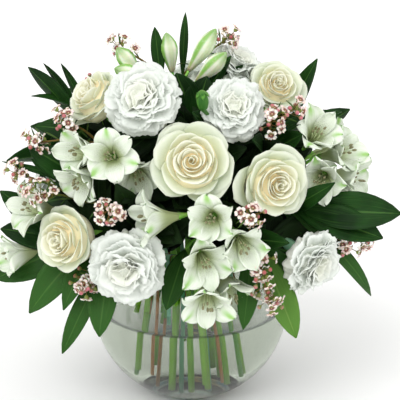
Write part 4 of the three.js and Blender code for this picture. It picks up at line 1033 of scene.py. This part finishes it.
def stamens(base, basis, draw):
    """Six threads, each a tube through three bent places up the floret, and on each a long
    bead, the anther, that is a tube through four and has another tone."""
    for k in range(6):
        turn = k * np.pi / 3 + 0.5 + 0.2 * draw.uniform(-1, 1)
        side = np.array((math.cos(turn), math.sin(turn), 0))
        high = 0.030 + 0.005 * draw.uniform(-1, 1)
        lean = 0.0030 + 0.0012 * draw.uniform(-1, 1)
        path = np.array([side * 0.0012 + (0, 0, 0.010), side * lean * 0.8 + (0, -0.0010, 0.020),
                         side * lean + (0, 0.0010, high)])
        points, faces, _ = tube(base + path @ basis.T, 0.00035, 4, 2)
        yield points, faces, (0.0, 0.0, 0.2)
        bead = np.array([path[-1] + side * out + (0, 0, up) for out, up in (
            (0, 0), (0.0004, 0.0012), (0.0007, 0.0034), (0.0009, 0.0046))])
        points, faces, _ = tube(base + bead @ basis.T, (0.0003, 0.0011, 0.0010, 0.0003), 6, 2)
        yield points, faces, (0.0, 0.0, 0.9)


tepal = Paint("alstroemeria tepal", {"Roughness": 0.42, "Subsurface Weight": 0.2,
                                     "Subsurface Radius": (0.9, 1.0, 0.8),
                                     "Subsurface Scale": 0.004, "Sheen Weight": 0.05})
side, along, broad = tepal.marks()
middle = side.math("ABSOLUTE")
streak = tepal.noise(3.0, stretch=(6.0, 0.6, 20.0))
cloud = tepal.noise(90.0)
veins = tepal.noise(3.0, 0.0, stretch=(15.0, 0.35, 20.0)).between(0.52, 0.66)
blotch = (along.between(0.60, 0.90) * (middle + cloud * 0.5 - 0.2).between(0.46, 0.06)
          * broad.between(0.2, 0.8))
dashes = tepal.noise(5.0, 0.0, stretch=(11.0, 4.5, 30.0)).between(0.64, 0.70)
dashes = dashes * broad.between(0.8, 0.2) * along.between(0.30, 0.42) * along.between(0.80, 0.60)
tepal.colour(
    "ebf2e4", (streak.between(0.40, 0.75) * 0.45, "d3e6bd"), (veins * 0.28, "b4cc98"),
    (along.between(0.72, 0.12), "bccf92"), (blotch * 0.9, "8cc850"),
    (along.between(0.940, 0.975) * middle.between(0.30, 0.10), "4f7f3a"),
    # The olive towards the tepals' base is partly their own green and partly painted shade deep in
    # the funnel.
    (along.between(0.62, 0.30) * 0.8, "a9b57c"), (dashes * 0.75, "645c42"))
tepal.feed("Roughness", 0.34 + streak * 0.2)
tepal.bump(streak, 0.0005, 0.5)
thread = Paint("stamen", {"Roughness": 0.6})
thread.colour("cfd6b0", (thread.marks()[2].between(0.4, 0.6), "85815f"))
thread.bump(thread.noise(900.0), 0.0002)
umbel_green = stem_paint("alstroemeria stem", "6cb43c", "a6e06c", "bcc468", "b0f244")
bud_skin = Paint("alstroemeria bud", {"Roughness": 0.4, "Subsurface Weight": 0.15,
                                      "Subsurface Scale": 0.003})
around, _, tone = bud_skin.marks()
seam = (around * 3.0).math("COSINE").between(0.2, 1.0)
stripe = (around * 3.0).math("COSINE").between(-0.15, -0.95)
bud_skin.colour(
    "edf2dc", (seam * 0.6, "c6d79f"), (stripe * 0.95, "7fb844"),
    (tone.between(0.62, 1.0) * 0.9, "7ba653"), (tone.between(0.30, 0.0) * 0.7, "c5ad8c"),
    (bud_skin.noise(300.0).between(0.5, 0.8) * 0.2, "ffffff"))
bud_skin.bump(seam, 0.0008, 0.6)


def closed_bud(start, end):
    """Rings on a line from start to end, widest past the middle, with three long seams."""
    run = end - start
    v = np.array((0, 0.06, 0.16, 0.30, 0.45, 0.60, 0.73, 0.84, 0.92, 0.97))[:, None]
    size = np.array((0.12, 0.19, 0.25, 0.36, 0.46, 0.50, 0.45, 0.32, 0.20, 0.10))[:, None]
    angle = np.arange(18)[None] * 2 * np.pi / 18
    radius = BUD_WIDTH * size * (1 - 0.10 * np.abs(np.cos(1.5 * angle)) ** 6)
    rings = (start + run * v[..., None]
             + radius[..., None] * round_axis(unit(run), (0.2, 0.9, 0.1), angle))
    points, faces = skin(rings[None], start[None], end[None])
    marks = np.concatenate([np.stack(np.broadcast_arrays(angle, v, v), -1).reshape(-1, 3),
                            [(0, 0, 0), (0, 1, 1)]])
    return points, faces, marks


def side_stalk(fork, end, growing, steps):
    """A curve that leaves a fork towards the end and comes into it as the flower grows."""
    span = np.linalg.norm(fork - end)
    corners = np.stack([fork, fork + 0.36 * (end - fork), end - growing * 0.35 * span, end])
    return bezier(corners[None], np.linspace(0, 1, steps))


for number, (name, fork, _, florets, buds, narrow) in enumerate(UMBELS, FIRST_UMBEL):
    fork, draw = metres(fork), np.random.default_rng(300 + number)
    umbel_form = Form()
    umbel_form.add(*tube(stem_route(number), UMBEL_STEM), umbel_green)
    for x, y, z, azimuth, elevation, roll in florets:
        basis = facing_basis((azimuth, elevation), roll)
        growing = basis[:, 2]
        base = metres((x, y, z)) - growing * FLORET_FACE * FLORET_DEPTH
        stalk = side_stalk(fork, base, growing, 7)[:-1]
        neck = [base + growing * up for up in (-0.001, 0.002, 0.005)]
        umbel_form.add(*tube([*stalk, *neck], [FLORET_STALK] * len(stalk) + [
            0.0026, 0.0034, 0.0022], 8, 3), umbel_green)
        umbel_form.add(*tepals(base, basis, draw), tepal)
        for stamen in stamens(base, basis, draw):
            umbel_form.add(*stamen, thread)
    for bud in buds:
        start, tip = metres(bud).reshape(2, 3)
        stalk = side_stalk(fork, start, unit(tip - start), 6)
        umbel_form.add(*tube(stalk, BUD_STALK, 8, 3), umbel_green)
        umbel_form.add(*closed_bud(start, tip), bud_skin)
    leaves = []
    for leaf in narrow:
        start, tip = metres(leaf[:6]).reshape(2, 3)
        stalk = [fork, fork + 0.5 * (start - fork) + (0, 0, 0.002), start]
        umbel_form.add(*tube(stalk, LEAF_STALK, 6), umbel_green)
        leaves.append((start, tip, metres(leaf[6]), 0.04,
                       0.2 + 0.3 * draw.uniform() + 0.3 * (start[2] < 0.2)))
    if leaves:
        umbel_form.add(*leaf_sheets(leaves, *BROAD), dark_leaf)
    piece = umbel_form.object(name + "_cluster",
                              [tepal, umbel_green, thread, bud_skin, dark_leaf])
    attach(piece, "root")
    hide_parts(name)


# ---------------------------------------------------------------------------------------------
# Wax flowers
# Sprays of small waxy blooms on thin woody twigs with needle leaves: five round petals, white
# to blush, about a maroon cup with a bead in it, and a few shut red buds.
FLORET_RADIUS, WAX_PETAL, NEEDLE_WIDTH = 0.0055, 0.0004, 0.0016
SPRAY_STEM, TWIG, FINE_TWIG = 0.0015, (0.0012, 0.0010, 0.0008), 0.0004


def draw_at(number):
    """A number from 0 to 1 that looks drawn: what is left of a large sine after whole ones."""
    large = math.sin(number * 12.9898 + 4.1414) * 43758.5453
    return large - math.floor(large)


def wax_blooms(roots, mouths, draw):
    """Small cups with five round petals (count at once). A petal is a disc sheet about the
    axis from root to mouth, hollow towards it; the cup is a turned skin below them."""
    count = len(roots)
    axis = unit(mouths - roots)
    spare = unit(np.cross(axis, (0.3, 0.2, 0.93)))
    basis = np.stack([spare, np.cross(axis, spare), axis], -1)
    u, v = grid(4, 5)
    turn = (np.arange(5) * 2 * np.pi / 5)[None, :, None, None]
    turn = turn + draw.uniform(0, 6, (count, 1, 1, 1))
    size = FLORET_RADIUS * draw.uniform(0.92, 1.0, (count, 1, 1, 1))
    reach = size * (0.42 + 0.58 * v * (1 - 0.10 * u ** 2))
    wide = size * 0.36 * np.sin(np.pi * (0.25 + 0.62 * v)) ** 0.8 * u
    lift = size * (0.10 - 0.30 * (v - 0.5) ** 2 + 0.16 * u ** 2 + 0.10 * np.sin(3 * turn))
    local = about_axis(reach, wide, lift, turn)
    petals = mouths[:, None, None, None] + np.einsum("kprci,kji->kprcj", local, basis)
    petals = petals - axis[:, None, None, None] * 0.0014
    tone = np.repeat(draw.uniform(0, 1, (count, 1, 1)), 5, 0)
    profile = np.array([(0.0008, -0.0046), (0.0019, -0.0034), (0.0021, -0.0012),
                        (0.0020, -0.0002), (0.0015, -0.0010), (0.0008, -0.0012)])
    angle = np.arange(7) * 2 * np.pi / 7
    rings = about_axis(profile[:, :1], 0, profile[:, 1:], angle)
    rings = mouths[:, None, None] + np.einsum("lsi,kji->klsj", rings, basis)
    level = np.repeat(np.arange(6) / 6, 7)
    cup_marks = np.concatenate([np.stack([level, level, level], -1), [(0, 0, 0), (1, 1, 1)]])
    cups = skin(rings, mouths - axis * 0.0050, mouths - axis * 0.0002)
    return shell(petals.reshape(-1, 4, 5, 3), WAX_PETAL, u, v, tone), (*cups, cup_marks)


wax_petal = Paint("wax flower petal", {"Roughness": 0.32, "Subsurface Weight": 0.2,
                                       "Subsurface Scale": 0.002, "Coat Weight": 0.15})
_, along, tone = wax_petal.marks()
wax_petal.colour("f9f1e9", (tone, "f0d4cc"), (along.between(0.35, 0.0) * 0.5, "d3a092"))
wax_petal.bump(wax_petal.noise(500.0), 0.0002)
wax_cup = Paint("wax flower cup", {"Roughness": 0.35, "Coat Weight": 0.3})
tone = wax_cup.marks()[2]
wax_cup.colour("8a9848", (tone.between(0.30, 0.55), "86403a"), (tone.between(0.80, 0.96), "d9cc94"))
wax_cup.bump(wax_cup.noise(700.0), 0.0002)
wax_bud = Paint("wax flower bud", {"Roughness": 0.3, "Coat Weight": 0.3})
wax_bud.colour("a8304a", (wax_bud.noise(60.0).between(0.35, 0.65), "d06a86"),
               (wax_bud.marks()[1].between(0.05, 0.0), "7a8a3c"))
wax_bud.bump(wax_bud.noise(500.0), 0.0002)
twig_bark = stem_paint("wax flower twig", "667030", "8a6234", "96583a", "e89c54")
needle = leaf_paint("wax flower needle", "2f4f24", "48682f", "5d7a38", "6b8445", 0.4)

for number, (name, fork, _, bunches) in enumerate(WAX, FIRST_SPRAY):
    fork, draw = metres(fork), np.random.default_rng(500 + number)
    spray_form = Form()
    spray_form.add(*tube(stem_route(number), SPRAY_STEM), twig_bark)
    needles = []
    for order, (x, y, z, florets, buds) in enumerate(bunches):
        middle, seed = metres((x, y, z)), 40 * number + 9 * order
        away = unit(middle - fork)
        root = middle - away * 0.009
        bend = (fork + root) / 2 + (0, 0, 0.003)
        spray_form.add(*tube([fork, bend, middle - away * 0.008], TWIG, 6), twig_bark)
        count, shown = florets + buds, 4 * (florets + buds)
        k = np.arange(shown)
        lean = np.radians(6 + 70 * ((k * 0.618) % 1) ** 0.8)
        heading = k * GOLDEN_ANGLE + 6 * draw_at(seed)
        aim = (away * np.cos(lean)[:, None]
               + np.sin(lean)[:, None] * round_axis(away, (0.1, 0.2, 0.97), heading))
        roots = root - away * (0.0055 * (k % 3))[:, None]
        tips = roots + aim * draw.uniform(0.0085, 0.0175, shown)[:, None]
        open_ones = (k + k // count) % count < florets
        petals, cups = wax_blooms(roots[open_ones], tips[open_ones], draw)
        spray_form.add(*petals, wax_petal)
        spray_form.add(*cups, wax_cup)
        for start, tip, is_open in zip(roots, tips, open_ones):
            stop = tip - unit(tip - start) * (0.0045 if is_open else 0.004)
            spray_form.add(*tube([start, (start + stop) / 2, stop], FINE_TWIG, 3, 2), twig_bark)
            if not is_open:
                bud = [stop + (tip - stop) * a for a in (0, 0.4, 0.8, 1)]
                spray_form.add(*tube(bud, (0.0006, 0.0019, 0.0018, 0.0004), 7, 2), wax_bud)
        for share in np.linspace(0.25, 1.0, 7):
            start = fork + (root - fork) * share + (0, 0, 0.002 * math.sin(math.pi * share))
            aim = unit(away * 0.7 + draw.uniform(-1, 1, 3))
            needles.append((start, start + aim * draw.uniform(0.010, 0.018), NEEDLE_WIDTH, 0.08,
                            draw.uniform()))
    spray_form.add(*leaf_sheets(needles, 5, 3), needle)
    piece = spray_form.object(name + "_spray", [wax_petal, wax_cup, wax_bud, twig_bark, needle])
    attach(piece, "root")
    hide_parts(name)
